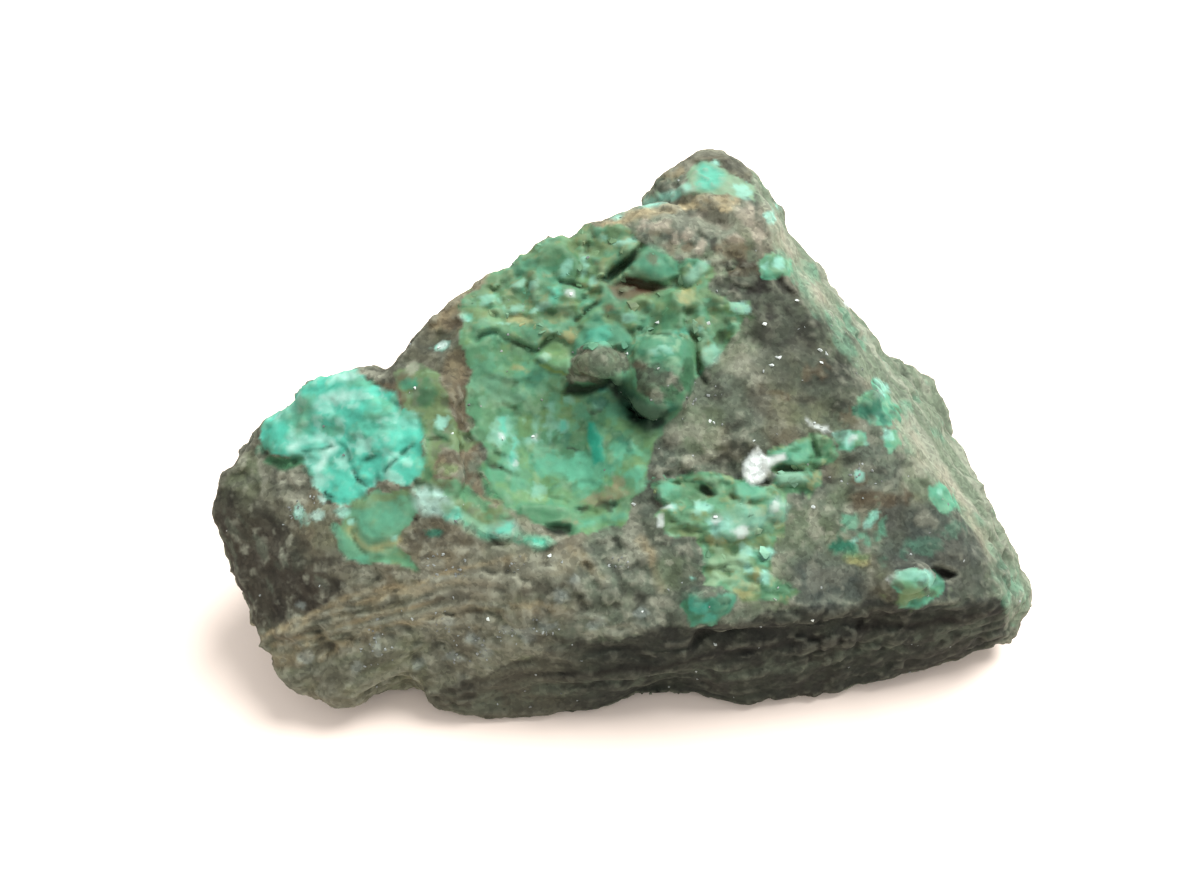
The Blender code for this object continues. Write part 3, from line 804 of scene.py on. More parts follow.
# %% Paint marks on the rock
patches(ROCK_BROWN, 0.6, 4.0, [(443, 355), (455, 350), (470, 360), (474, 370), (466, 385), (465, 405), (468, 425),
        (480, 438), (470, 450), (456, 440), (447, 425), (442, 400), (440, 378)],
        [(428, 452), (445, 446), (462, 440), (474, 446), (482, 462), (496, 484), (504, 500), (498, 510), (484, 500),
         (470, 492), (452, 486), (440, 488), (430, 474)])
dabs(BEIGE, 0.45, (456, 372, 7, 8), (452, 395, 4, 12), (438, 462, 8, 8), (456, 444, 10, 5), (488, 500, 10, 5))
dabs(ROCK, 0.8, (475, 470, 13, 12), (486, 486, 8, 8), (462, 478, 6, 6))
streaks(BEIGE * 1.1, 0.75, 9, [(432, 326), (470, 290), (508, 266), (548, 243), (584, 228), (619, 222), (650, 212)])
streaks(BEIGE * 1.7, 0.8, 8, [(606, 224), (640, 214), (668, 205), (700, 199), (736, 200)])
dabs(ROCK_BROWN, 0.5, (447, 325, 10, 12), (505, 272, 10, 5, -30), (660, 230, 20, 6), (670, 250, 6, 12))
dabs(daylight(184, 176, 156), 0.8, (648, 226, 12, 5), (676, 236, 7, 6), (690, 232, 8, 9), (702, 246, 5, 10), (716, 226, 6, 8),
     (664, 222, 8, 4), (745, 212, 12, 7), (755, 235, 7, 12), (700, 215, 12, 5), (738, 236, 6, 5))
dabs(ROCK_BROWN, 0.7, (690, 248, 6, 6), (733, 250, 14, 10), (722, 222, 9, 9), (745, 270, 14, 8))
patches(ROCK_DARK * 0.95, 0.7, 12.0, [(745, 262), (785, 272), (826, 325), (862, 385), (850, 420), (812, 405),
        (775, 380), (752, 330), (735, 300)])
patches(SLATE, 0.7, 12.0, [(880, 500), (940, 505), (985, 560), (992, 605), (900, 604), (880, 560)],
        [(790, 560), (860, 566), (880, 600), (800, 604)])
patches(ROCK_PALE, 0.45, 14.0, [(410, 585), (520, 552), (570, 560), (560, 580), (480, 600), (430, 640), (400, 630)],
        [(646, 200), (700, 194), (742, 206), (752, 232), (720, 236), (660, 224)])
dabs(BLACK, 0.65, (716, 242, 4, 7), (735, 264, 18, 4), (762, 288, 9, 14), (728, 284, 18, 8), (745, 295, 14, 6),
     (785, 282, 14, 5, 35), (764, 306, 10, 6), (718, 300, 8, 4), (757, 290, 12, 16), (771, 312, 8, 10))
dabs(BLACK, 0.5, (838, 366, 16, 10, 30), (806, 330, 10, 14), (826, 330, 8, 12), (790, 345, 12, 5), (820, 384, 14, 5),
     (842, 408, 10, 6), (800, 400, 12, 4), (724, 390, 16, 6), (850, 460, 12, 8), (836, 478, 12, 5),
     (900, 500, 12, 6), (880, 470, 8, 5), (760, 330, 10, 14), (792, 310, 9, 9), (850, 340, 6, 8))
dabs(ROCK_BROWN, 0.5, (815, 372, 10, 8), (850, 420, 10, 12), (880, 500, 24, 8), (860, 480, 14, 6), (778, 396, 14, 6))
dabs(ROCK_PALE, 0.5, (690, 430, 22, 8), (720, 455, 14, 6), (770, 400, 10, 6), (745, 360, 12, 6), (690, 458, 12, 5),
     (862, 470, 14, 5), (905, 440, 8, 14), (925, 470, 10, 10), (925, 520, 12, 8), (815, 530, 6, 24), (760, 380, 8, 5))
dabs(ROCK_DARK, 0.5, (620, 600, 34, 12), (1000, 570, 9, 22), (720, 220, 8, 7), (300, 560, 12, 12), (460, 392, 8, 12))
# Dark patches in the recess under the front band's groove: partly the band's dark layers, partly painted shade.
dabs(BAND_DARK, 0.7, (800, 640, 56, 13), (730, 652, 40, 10))
dabs(ROCK_PALE, 0.22, (820, 578, 28, 12), (300, 490, 22, 12), (450, 620, 28, 12), (330, 612, 16, 6))
streaks(BEIGE * 1.3, 0.75, 5, [(262, 640), (288, 627), (339, 599), (396, 587), (453, 572), (510, 558)])
streaks(BEIGE * 1.2, 0.6, 4.5, [(322, 660), (371, 632), (429, 619), (486, 611)], [(273, 648), (335, 632), (380, 615), (440, 600)])
streaks(ROCK_DARK, 0.6, 6, [(300, 634), (345, 614), (400, 600), (460, 588)], [(290, 655), (350, 640), (410, 628)])
streaks(BEIGE, 0.7, 9, [(570, 545), (585, 562), (600, 578)], [(640, 540), (652, 556), (662, 590)],
        [(430, 560), (462, 552)], [(505, 562), (522, 558)])
dabs(ROCK_PALE, 0.7, (434, 562, 8, 6), (460, 552, 6, 6), (517, 563, 7, 5), (440, 580, 10, 4), (470, 575, 8, 3),
     (620, 560, 12, 6), (402, 574, 18, 4), (290, 478, 16, 5), (300, 500, 14, 5), (262, 470, 5, 12), (245, 460, 6, 8))
dabs(daylight(180, 194, 186), 0.35, (377, 652, 5, 7), (380, 636, 3, 5), (471, 640, 9, 6), (455, 658, 9, 4), (505, 632, 7, 4),
     (522, 636, 9, 6), (486, 652, 7, 5), (600, 622, 7, 5), (640, 612, 6, 4), (358, 670, 6, 5), (420, 660, 8, 5),
     (546, 628, 8, 5), (560, 596, 6, 5), (448, 622, 7, 5), (575, 580, 7, 8), (300, 604, 5, 5), (306, 660, 7, 5))
dabs(BLACK, 0.5, (420, 540, 12, 10), (436, 536, 8, 6), (430, 556, 10, 4), (322, 560, 16, 6), (300, 545, 8, 8),
     (540, 590, 22, 8), (450, 600, 20, 6), (480, 614, 24, 5), (560, 640, 22, 6), (640, 600, 12, 8), (455, 690, 20, 8))

# %% [markdown]
# The minerals come next. Each zone gets its ground colour, then each chip gets its own tone from the same cells that
# gave it its height, because a chip that broke off shows a fresh, flat face.

# %% Paint the minerals' ground colours
lumps = np.maximum(zones["left lump"], zones["right lump"])
luck = shards(points, 1.5 * MM, 8)[0]
side_luck = shards(points * (1.0, 1.7, 1.7), 1.7 * MM, 9)[0]
for zone, colour in (
        ("valley", OLIVE * 0.85), ("main green", GREEN), ("right green", GREEN), ("spots", SEA), ("olive patch", SEA),
        ("turquoise", BLUE_GREEN), ("nodules", SEA), ("apex band", GREEN_PALE * 0.8)):
    lay(colour, 0.95 * zones[zone])
picture_u, picture_v = in_picture(points)
flaky = zones["main green"] * soft_step(0.25 * (picture_u - 560) - picture_v, -372, -335)
for zone, tone in ((flaky, luck[:, 1]), (zones["right green"] + zones["spots"], side_luck[:, 1])):
    lay(SEA, 0.45 * zone * soft_step(tone, 0.6, 0.7))
    lay(GREEN_PALE, 0.4 * zone * soft_step(tone, 0.82, 0.88))
    lay(OLIVE, 0.45 * zone * soft_step(-tone, -0.32, -0.22))
    lay(GREEN_DEEP, 0.45 * zone * soft_step(-tone, -0.14, -0.08))
green = zones["green"]
lay(OLIVE, 0.35 * green * (1 - zones["turquoise"]) * patchy(1.8, 51, 0.1, 0.6))
lay(GREEN_DEEP, 0.3 * green * (1 - zones["turquoise"]) * patchy(2.6, 52, 0.2, 0.7))
lay(GREEN_PALE, 0.4 * green * (1 - zones["turquoise"]) * patchy(1.0, 53, 0.2, 0.7))
lay(OLIVE_DARK, 0.4 * green * (1 - zones["turquoise"]) * patchy(0.7, 67, 0.3, 0.8))
lay(GREEN_PALE, 0.25 * green * patchy(0.5, 68, 0.3, 0.8, 2))
lay(LIME, 0.3 * zones["main green"] * patchy(1.5, 72, 0.1, 0.5, 4))
lay(SEA * 1.1, 0.4 * zones["main green"] * patchy(1.1, 73, 0.15, 0.5, 4))
lay(GREEN_DEEP, 0.35 * zones["main green"] * patchy(1.3, 74, 0.2, 0.6, 4))
lay(ROCK, 0.5 * zones["valley"] * patchy(1.2, 69, -0.1, 0.3))
lay(OLIVE * 0.9, 0.45 * flaky * patchy(1.5, 94, 0.0, 0.4))
lay(YELLOW * 0.8, 0.35 * flaky * patchy(0.45, 95, 0.3, 0.6, 2))
lay(OLIVE_DARK, 0.45 * zones["right green"] * patchy(0.55, 96, 0.2, 0.55))
lay(YELLOW, 0.35 * zones["right green"] * patchy(0.5, 97, 0.3, 0.6, 2))
lay(BLACK, 0.14 * flaky + 0.06 * zones["right green"])
lay(OLIVE, 0.3 * zones["olive patch"])
lay(MINT, 0.45 * zones["turquoise"] * patchy(1.4, 54, 0.1, 0.6))
lay(TEAL, 0.3 * zones["turquoise"] * patchy(1.8, 55, 0.1, 0.7))
lay(SEA, 0.4 * zones["turquoise"] * patchy(2.6, 93, 0.0, 0.5))
lay(CHALK, 0.35 * zones["turquoise"] * patchy(0.55, 91, 0.2, 0.6))
lay(TEAL_DEEP, 0.3 * zones["turquoise"] * patchy(0.6, 92, 0.35, 0.8))
print("share of the skin under minerals:", round(float(green.mean()), 3))

# %% Paint the turquoise lobe and the olive patch
patches(OLIVE, 0.45, 8.0, [(292, 405), (304, 398), (315, 395), (313, 412), (308, 430), (294, 436), (288, 428)])
dabs(SEA * 0.75, 0.55, (270, 442, 9, 15, 30), (286, 420, 8, 10))
patches(GREEN_DEEP, 0.9, 3.0, [(264, 464), (268, 456), (282, 456), (302, 457), (304, 463), (292, 468), (276, 470)])
dabs(BLUE_GREEN, 0.8, (278, 432, 8, 12, 35), (274, 446, 6, 7), (395, 444, 16, 10), (402, 472, 9, 13), (345, 488, 13, 12))
streaks(CHALK * 1.1, 0.8, 9, [(288, 447), (302, 441), (316, 437), (330, 440)], [(320, 466), (322, 453), (333, 449)],
        [(318, 408), (325, 400), (340, 394), (352, 395)], [(338, 378), (352, 379)])
dabs(MINT, 0.8, (363, 445, 9, 9), (340, 425, 5, 9), (348, 408, 8, 5), (316, 425, 7, 6), (345, 462, 8, 5),
     (390, 476, 10, 4, 40), (322, 482, 6, 8), (366, 396, 12, 4), (408, 462, 5, 5), (392, 454, 8, 3))
dabs(SEA, 0.8, (386, 404, 9, 7), (332, 428, 10, 5), (362, 384, 14, 4), (376, 416, 12, 5))
streaks(TEAL_DEEP, 0.8, 4, [(343, 446), (350, 456), (356, 468)], [(380, 470), (388, 463), (400, 455), (413, 447)],
        [(361, 466), (370, 459), (376, 457)], [(300, 452), (318, 450), (330, 446)])
streaks(GREEN_BLACK, 0.9, 3, [(355, 470), (359, 477), (366, 484)], [(328, 490), (334, 496)])
streaks(TEAL_DEEP, 0.6, 6, [(364, 482), (374, 478)], [(306, 468), (312, 474)])
streaks(GREEN, 0.9, 7, [(402, 414), (418, 420), (425, 440), (424, 470), (414, 490)])
streaks(OLIVE, 0.7, 4, [(420, 420), (428, 440), (427, 465)])
dabs(OLIVE, 0.7, (360, 503, 9, 5), (380, 496, 14, 5), (404, 494, 10, 4), (398, 556, 10, 6), (345, 530, 6, 10))
dabs(SEA, 0.6, (380, 520, 20, 14), (340, 540, 6, 14, -25), (362, 560, 12, 4))
streaks(YELLOW, 0.6, 8, [(351, 528), (357, 538), (365, 547), (378, 549), (388, 544), (398, 541)])
dabs(MINT, 0.7, (393, 539, 6, 4), (350, 522, 4, 3), (338, 512, 10, 5), (298, 515, 7, 8))
streaks(OLIVE_DARK, 0.6, 3, [(352, 532), (358, 546), (366, 553)])
streaks(GREEN, 0.8, 5, [(372, 562), (392, 556), (414, 566)])
dabs(CHALK, 0.6, (323, 497, 4, 5), (318, 515, 9, 5), (298, 513, 4, 5))
patches(CHALK * 1.05, 0.95, 6.0, [(411, 492), (424, 487), (438, 492), (449, 503), (441, 513), (426, 514), (415, 507)])

# %% Paint the valley and the mint chain
dabs(OLIVE, 0.7, (412, 386, 16, 6), (426, 412, 8, 6), (446, 470, 12, 6))
dabs(GREEN_DEEP, 0.7, (440, 433, 9, 6), (424, 394, 10, 12), (429, 478, 4, 14))
dabs(ROCK_BROWN, 0.6, (403, 402, 8, 8), (386, 386, 10, 8), (398, 378, 14, 4), (460, 392, 7, 16))
dabs(ROCK_PALE, 0.7, (410, 369, 10, 5), (388, 376, 12, 4), (372, 374, 16, 3))
dabs(MINT, 0.8, (441, 421, 6, 5), (451, 516, 10, 6), (438, 348, 8, 5), (466, 316, 5, 4), (500, 532, 8, 5))
dabs(TEAL, 0.5, (412, 387, 10, 6), (495, 476, 10, 12, 40), (434, 534, 7, 5))
dabs(GREEN, 0.7, (495, 480, 12, 14, 30), (470, 500, 22, 6, 25), (500, 516, 14, 5), (456, 494, 12, 8))
streaks(SEA * 0.85, 1.1, 11, [(446, 512), (466, 522), (490, 530), (520, 536), (545, 542)])
streaks(GREEN_PALE, 0.6, 7, [(440, 506), (462, 518), (484, 526)])
patches(MINT, 0.3, 4.0, [(480, 525), (492, 520), (506, 523), (518, 520), (523, 527), (514, 537), (500, 538), (488, 532)],
        [(440, 512), (452, 509), (462, 516), (456, 525), (444, 522)])
patches(SEA, 0.9, 3.0, [(524, 541), (534, 534), (550, 535), (558, 541), (548, 548), (532, 549)])
dabs(BLUE_GREEN, 0.6, (505, 528, 14, 6), (452, 516, 8, 5), (538, 543, 8, 4))

# %% Paint the scoop and its rims
dabs(GREEN_DEEP, 0.25, (478, 410, 9, 24), (500, 352, 14, 5), (516, 400, 12, 5), (560, 398, 14, 6))
dabs(GREEN_PALE, 0.45, (500, 388, 22, 16), (496, 404, 14, 8))
dabs(SEA, 0.35, (500, 388, 22, 14), (540, 386, 20, 8), (524, 372, 20, 8))
dabs(LIME, 0.25, (560, 495, 22, 12), (600, 480, 16, 8))
dabs(YELLOW, 0.6, (518, 367, 8, 4), (566, 331, 8, 7), (684, 296, 9, 8), (546, 357, 5, 3), (520, 318, 14, 4))
dabs(TEAL_DEEP, 0.5, (531, 378, 8, 7), (566, 440, 6, 8))
dabs(SEA * 1.2, 0.7, (590, 470, 26, 14), (560, 468, 24, 12), (625, 450, 12, 9), (630, 476, 16, 7), (592, 484, 14, 5))
dabs(MINT, 0.42, (503, 426, 7, 14, 20), (497, 440, 10, 6), (513, 449, 7, 16), (534, 428, 8, 14), (550, 424, 6, 12),
     (563, 424, 5, 7), (570, 402, 5, 4), (536, 491, 9, 6), (528, 440, 10, 5), (600, 405, 7, 6))
# White dots in the scoop and on the flakes are painted glints: painted highlights.
dabs(WHITE, 0.6, (534, 436, 4, 4), (500, 436, 3, 3), (516, 461, 2.5, 3), (439, 347, 5, 4), (571, 295, 6, 4))
dabs(BLUE_GREEN, 0.6, (513, 447, 4, 10), (503, 424, 3, 8), (556, 294, 7, 6), (607, 386, 5, 4), (563, 424, 3, 5))
patches(TEAL, 0.95, 2.0, [(588, 423), (596, 424), (602, 440), (601, 462), (592, 468), (589, 448)])
streaks(GREEN_DEEP, 0.8, 8, [(522, 514), (545, 510), (566, 512)], [(480, 470), (490, 490), (506, 506)])
streaks(SEA, 0.7, 6, [(580, 521), (605, 518), (622, 514)])
dabs(BEIGE, 0.6, (568, 519, 8, 4), (612, 492, 14, 6), (596, 500, 12, 5), (620, 482, 8, 6))
dabs(BLACK, 0.7, (585, 509, 7, 4), (607, 506, 9, 5), (573, 449, 5, 2), (469, 442, 6, 3), (594, 412, 7, 4))
streaks(BLACK, 0.85, 5, [(479, 456), (488, 462), (497, 467)])
streaks(OLIVE_DARK, 0.7, 4, [(498, 467), (515, 476)], [(501, 402), (514, 409)])
patches(GREEN_BLACK, 0.95, 2.5, [(545, 524), (556, 521), (572, 524), (574, 530), (560, 534), (548, 529)])

# %% Paint the flakes, the lumps, and painted shade in the cave
patches(GREEN_DEEP, 0.6, 3.0, [(533, 262), (548, 247), (562, 244), (577, 256), (582, 270), (574, 281), (556, 283)])
patches(daylight(78, 150, 118), 0.8, 4.5, [(594, 312), (604, 318), (618, 324), (632, 336), (630, 346), (612, 349), (590, 348), (574, 352),
        (573, 338), (580, 324)], [(640, 336), (662, 332), (682, 334), (692, 348), (692, 366), (676, 378), (650, 374),
        (634, 374), (634, 350)], [(628, 264), (638, 253), (650, 243), (664, 250), (677, 262), (679, 274), (664, 281)])
patches(GREEN_DEEP, 0.6, 3.0, [(655, 296), (665, 289), (674, 291), (682, 305), (686, 320), (680, 332), (650, 330)])
patches(LIME, 0.3, 5.0, [(538, 352), (553, 342), (566, 346), (571, 358), (570, 375), (556, 372), (543, 367)])
patches(MINT, 0.42, 2.5, [(680, 277), (690, 270), (702, 262), (712, 261), (708, 271), (697, 279), (686, 284)],
        [(700, 350), (712, 344), (722, 352), (718, 362), (706, 366), (699, 360)])
# Of these mint blots, the two on the right lump's top, at (652, 352) and (664, 346), are a painted highlight.
dabs(MINT, 0.5, (521, 284, 6, 5), (566, 270, 6, 7), (518, 308, 10, 4), (505, 322, 12, 3), (488, 297, 8, 6),
     (630, 317, 6, 5), (652, 352, 5, 3), (664, 346, 5, 3), (548, 330, 7, 3), (545, 358, 5, 4), (598, 280, 6, 4), (742, 308, 10, 4),
     (540, 309, 8, 3), (536, 286, 5, 5), (610, 240, 8, 5), (628, 242, 8, 4), (700, 330, 6, 6), (584, 262, 4, 10))
dabs(OLIVE, 0.6, (596, 250, 14, 8), (575, 300, 12, 4), (640, 300, 12, 5), (560, 318, 16, 4), (480, 312, 14, 6),
     (700, 296, 10, 6), (660, 306, 6, 6), (610, 320, 6, 6))
dabs(BLUE_GREEN, 0.35, (470, 316, 4, 3), (600, 334, 10, 8), (680, 331, 6, 4))
dabs(GREEN_DEEP, 0.35, (720, 320, 12, 9), (500, 315, 10, 6))
dabs(OLIVE_DARK, 0.75, (712, 305, 10, 6), (690, 311, 10, 4), (722, 341, 7, 8), (658, 281, 10, 3), (748, 316, 8, 3))
# Dark olive lines along the cracks. The one from (560, 285) to (598, 290) is painted shade under the teal slab's edge.
streaks(OLIVE_DARK, 0.7, 3.5, [(478, 340), (486, 333), (499, 330), (514, 338), (525, 343), (536, 350), (551, 336)],
        [(575, 320), (586, 311), (598, 301)], [(560, 285), (577, 286), (598, 290)], [(640, 330), (655, 333), (676, 335)],
        [(684, 322), (692, 338), (696, 357), (699, 372), (706, 383)], [(536, 362), (552, 371), (566, 376)])
# A pale lime line on the lime plate's lower rim: a painted highlight on its edge.
streaks(LIME, 0.7, 3, [(540, 366), (555, 372), (568, 377)])
patches(GREEN_BLACK, 0.8, 3.5, [(600, 278), (616, 266), (630, 255), (643, 243), (634, 258), (620, 272), (608, 282)])
patches(ROCK_BROWN, 0.85, 3.0, [(607, 285), (626, 276), (649, 283), (672, 285), (655, 294), (632, 297), (615, 296)])
patches(RED_BROWN * 0.75, 0.95, 3.0, [(618, 282), (630, 276), (649, 282), (666, 284), (654, 292), (636, 291)])
dabs(ROCK_BROWN, 0.6, (651, 257, 5, 6), (612, 308, 8, 5))
lump_low = picture_v - 0.25 * (picture_u - 660) + 12 * swells(points, 1.3 * MM, 60, 4)
bare_lumps = np.clip(zones["left lump"] + zones["right lump"] * soft_step(lump_low, 362, 376), 0.0, 1.0)
lay(ROCK_DARK * (1.2 + 0.7 * zones["left lump"][:, None]), 0.92 * bare_lumps)
lay(ROCK_PALE, 0.6 * bare_lumps * patchy(0.7, 71, 0.0, 0.6))
lay(ROCK_BROWN, 0.4 * bare_lumps * patchy(1.4, 75, 0.0, 0.5))
green_lump = zones["right lump"] * (1 - bare_lumps)
lay(GREEN_PALE, 0.55 * green_lump * patchy(0.7, 76, 0.1, 0.6, 4))
lay(GREEN_DEEP, 0.5 * green_lump * patchy(1.0, 77, 0.1, 0.6, 4))
lay(GREEN_DEEP, 0.6 * zones["right lump"] * soft_step(picture_u + 6 * uneven, 676, 690))
# The cave and the gap under the left lump are painted dark green, teal and near black: painted shade under the lumps.
patches(GREEN_DEEP * 0.75, 0.8, 20.0, CAVE)
patches(TEAL_DEEP * 0.45, 0.85, 12.0, CAVE)
patches(GREEN_BLACK, 0.5, 6.0, CAVE)
patches(GREEN_BLACK, 0.97, 3.5, GAP_UNDER_LUMP)
streaks(GREEN_BLACK, 0.9, 8, [(608, 382), (616, 390), (620, 400)], [(634, 416), (648, 425), (660, 424), (668, 414)])
dabs(GREEN_DEEP * 0.7, 0.8, (672, 396, 9, 10, 30), (686, 372, 6, 16))
dabs(TEAL_DEEP, 0.6, (606, 404, 8, 6), (618, 436, 14, 6, 40), (674, 407, 6, 4), (596, 398, 8, 4))

# %% Paint the right zone, the nodules and the apex
patches(SEA, 0.8, 2.0, [(770, 452), (795, 442), (809, 438), (812, 450), (808, 462), (790, 465), (775, 462)],
        [(655, 484), (668, 481), (680, 488), (681, 497), (668, 503), (658, 498)],
        [(734, 484), (748, 480), (766, 488), (764, 498), (744, 502), (733, 495)])
patches(MINT, 0.4, 4.0, [(775, 474), (790, 471), (802, 473), (806, 480), (792, 486), (776, 484)],
        [(722, 512), (744, 504), (762, 508), (770, 520), (758, 534), (736, 540), (718, 532)],
        [(766, 502), (778, 498), (788, 508), (782, 522), (770, 520)])
# A dark olive line under the right zone's top plate: painted shadow of its lower edge.
patches(OLIVE_DARK, 0.8, 2.0, [(770, 467), (790, 466), (812, 470), (800, 472), (778, 473)])
patches(BLACK, 0.9, 2.0, [(698, 484), (706, 487), (714, 496), (708, 499), (700, 492)])
dabs(GREEN_DEEP, 0.7, (790, 490, 14, 4), (795, 448, 10, 4), (825, 448, 6, 8), (690, 476, 12, 4), (712, 546, 6, 12),
     (704, 570, 8, 6), (784, 586, 9, 8), (870, 410, 12, 9), (840, 546, 12, 7), (668, 498, 8, 4))
dabs(OLIVE, 0.8, (726, 552, 14, 10), (720, 572, 14, 10), (746, 592, 14, 6), (750, 572, 10, 8), (690, 530, 12, 4),
     (735, 498, 14, 4), (860, 556, 14, 6), (700, 512, 10, 5), (770, 540, 8, 8), (744, 542, 12, 5))
dabs(YELLOW, 0.5, (715, 538, 12, 4), (738, 576, 10, 5), (742, 592, 10, 4), (862, 560, 12, 4), (760, 574, 4, 6))
dabs(MINT, 0.8, (672, 508, 10, 4), (745, 552, 10, 6), (768, 580, 5, 9), (694, 580, 6, 4), (748, 566, 5, 6),
     (880, 390, 7, 8), (848, 440, 12, 7), (938, 494, 4, 5), (876, 516, 5, 7), (916, 574, 12, 6), (776, 264, 9, 6),
     (770, 552, 5, 6), (725, 525, 12, 8), (700, 508, 10, 4), (860, 478, 6, 4), (890, 434, 6, 5))
# White dots in the right zone are painted glints: painted highlights.
dabs(WHITE, 0.7, (662, 518, 5, 7), (740, 530, 10, 5), (776, 508, 6, 6), (852, 440, 7, 4), (668, 508, 6, 3),
     (718, 518, 4, 4), (890, 582, 5, 4))
patches(TEAL_DEEP, 0.8, 7.0, FRONT_NODULE)
lay(SEA * 0.7, 0.8 * zones["nodules"] * patchy(0.8, 78, -0.1, 0.4, 4))
lay(GREEN_DEEP, 0.6 * zones["nodules"] * patchy(0.9, 79, 0.2, 0.6, 4))
for outline in GREEN_SPOTS[:3]:
    lay(ROCK_DARK, 0.65 * inside(u, v, outline, 8.0) * seen * patchy(1.1, 70, -0.2, 0.2))
dabs(SEA, 0.5, (852, 522, 9, 7), (874, 514, 7, 9), (866, 536, 12, 7), (848, 548, 14, 7), (884, 528, 5, 8))
dabs(MINT, 0.6, (876, 514, 5, 6), (856, 538, 6, 4), (868, 524, 4, 5))
dabs(TEAL_DEEP, 0.8, (872, 408, 15, 10), (838, 546, 12, 8), (886, 416, 10, 8))
dabs(SEA * 0.75, 0.45, (944, 501, 10, 12))
dabs(BLUE_GREEN * 0.8, 0.6, (698, 606, 8, 7), (690, 602, 5, 6), (708, 614, 6, 3))
dabs(GREEN_BLACK, 0.6, (703, 597, 7, 4), (722, 598, 8, 4))
dabs(GREEN_PALE, 0.6, (730, 560, 18, 12), (720, 578, 12, 7))
dabs(GREEN * 0.8, 0.55, (680, 495, 14, 7), (725, 512, 16, 6))
dabs(OLIVE, 0.8, (914, 594, 22, 8), (905, 598, 14, 7))
dabs(GREEN, 0.5, (900, 582, 8, 8), (932, 588, 10, 7))
dabs(MINT, 0.45, (908, 575, 11, 6), (932, 580, 9, 4))
dabs(ROCK_DARK, 0.7, (918, 583, 7, 4), (930, 592, 5, 4), (897, 592, 4, 5))
patches(BLACK, 0.95, 2.0, [(933, 566), (942, 567), (956, 574), (950, 578), (940, 576)])
dabs(SEA * 0.7, 0.3, (903, 552, 10, 12), (950, 532, 10, 9), (1007, 596, 8, 10), (884, 560, 8, 8), (930, 545, 16, 8))
patches(BLUE_GREEN * 0.9, 0.75, 5.0, [(698, 172), (702, 164), (716, 168), (724, 178), (712, 190), (698, 188)])
patches(MINT, 0.75, 3.0, [(640, 207), (650, 198), (672, 190), (690, 184), (696, 190), (668, 200), (650, 208)])
dabs(MINT, 0.7, (742, 192, 9, 7, 30), (716, 164, 8, 3), (770, 214, 6, 6), (620, 214, 8, 3, -20))
dabs(BEIGE * 2.2, 0.85, (690, 205, 16, 6), (722, 206, 10, 4))
dabs(BEIGE, 0.7, (700, 200, 16, 4), (668, 210, 16, 4, -20), (730, 198, 10, 3), (640, 216, 12, 4, -20), (674, 174, 12, 5))
# A raised chip painted bright white: a painted reflection of the lamp on its glossy facet.
WHITE_REFLECTION = [(743, 477), (744, 463), (751, 452), (758, 446), (766, 456), (785, 453), (786, 459), (770, 467), (764, 481), (752, 485)]
lay(WHITE * 1.15, 0.97 * inside(*ragged_place(points, 1.2), WHITE_REFLECTION, 2.0) * seen)
# Two white dabs on the rock are painted glints: painted highlights.
dabs(WHITE, 0.8, (818, 426, 9, 4, 20), (846, 303, 6, 3, 50))

# %% [markdown]
# Two more things tie the paint to the relief. Hollows are painted darker, as painted shade, and edges are rubbed pale.
# Both are found from how far a point stands out from the average of its neighbours.

# %% Painted shade in hollows and pale edges
chalky = blot(u, v, uneven, 430, 501, 22, 16) * seen
lay(GREEN_PALE, 0.2 * green * soft_step(rise, 0.015, 0.08))
lay(ROCK_PALE, 0.35 * (1 - green) * (1 - 0.5 * zones["front dark"]) * soft_step(rise, 0.015, 0.07))
# Painted shade: olive and black laid into the broad hollows.
lay(OLIVE_DARK, 0.45 * green * soft_step(-broad_rise, 0.1, 0.4))
lay(BLACK, 0.5 * (1 - green) * (1 - chalky) * soft_step(-broad_rise, 0.06, 0.3))
print("rise, mm:", np.percentile(rise, (1, 50, 99)).round(3), "broad:", np.percentile(broad_rise, (1, 50, 99)).round(3))

# %% [markdown]
# The back and the underside can't be seen in the picture, so they are finished by what the front tells: the same
# beds run through, in the same colours, with a few green veins and crusts where beds part.

# %% Paint the hidden side
hidden = 1.0 - seen
for low, high, colour, share in (
        (-6.5, -5.0, ROCK_DARK, 0.5), (-3.5, -2.8, BEIGE, 0.5), (-1.0, 0.4, ROCK_BROWN, 0.5), (2.0, 3.4, ROCK_PALE, 0.4),
        (4.6, 5.2, BEIGE, 0.5), (7.0, 8.4, ROCK_DARK, 0.5), (10.0, 10.6, BEIGE, 0.5), (13.0, 14.0, ROCK_PALE, 0.4)):
    lay(colour, share * hidden * bed_band(low, high) * patchy(2.4, 61, -0.4, 0.2))
vein = hidden * bed_band(2.9, 4.3, 0.4) * patchy(4.0, 62, 0.0, 0.4)
lay(GREEN, 0.85 * vein)
lay(BLUE_GREEN, 0.7 * vein * patchy(1.6, 63, 0.1, 0.5))
crust = hidden * bed_band(9.0, 12.5, 0.6) * patchy(5.0, 64, 0.25, 0.6)
lay(OLIVE, 0.6 * crust)
lay(SEA, 0.8 * crust * patchy(1.8, 65, 0.0, 0.4))

# %% Store the paint
minerals = np.clip(green + zones["apex band"] + vein + crust, 0.0, 1.0) * (1 - bare_lumps)
layer = stone.data.color_attributes.new("paint", 'FLOAT_COLOR', 'POINT')
layer.data.foreach_set("color", np.hstack([paint, np.ones((len(paint), 1))]).ravel())
wax = stone.data.attributes.new("wax", 'FLOAT', 'POINT')
wax.data.foreach_set("value", minerals)

# %% [markdown]
# One finish serves the whole skin. It takes the paint, breaks it into sand grains where the skin is rock, and keeps
# it nearly even where it is mineral, which is also smoother and shinier. Grains are cell noise, each with its own
# tone; finer noise gives the grain's roughness and bump.

# %% Rock finish


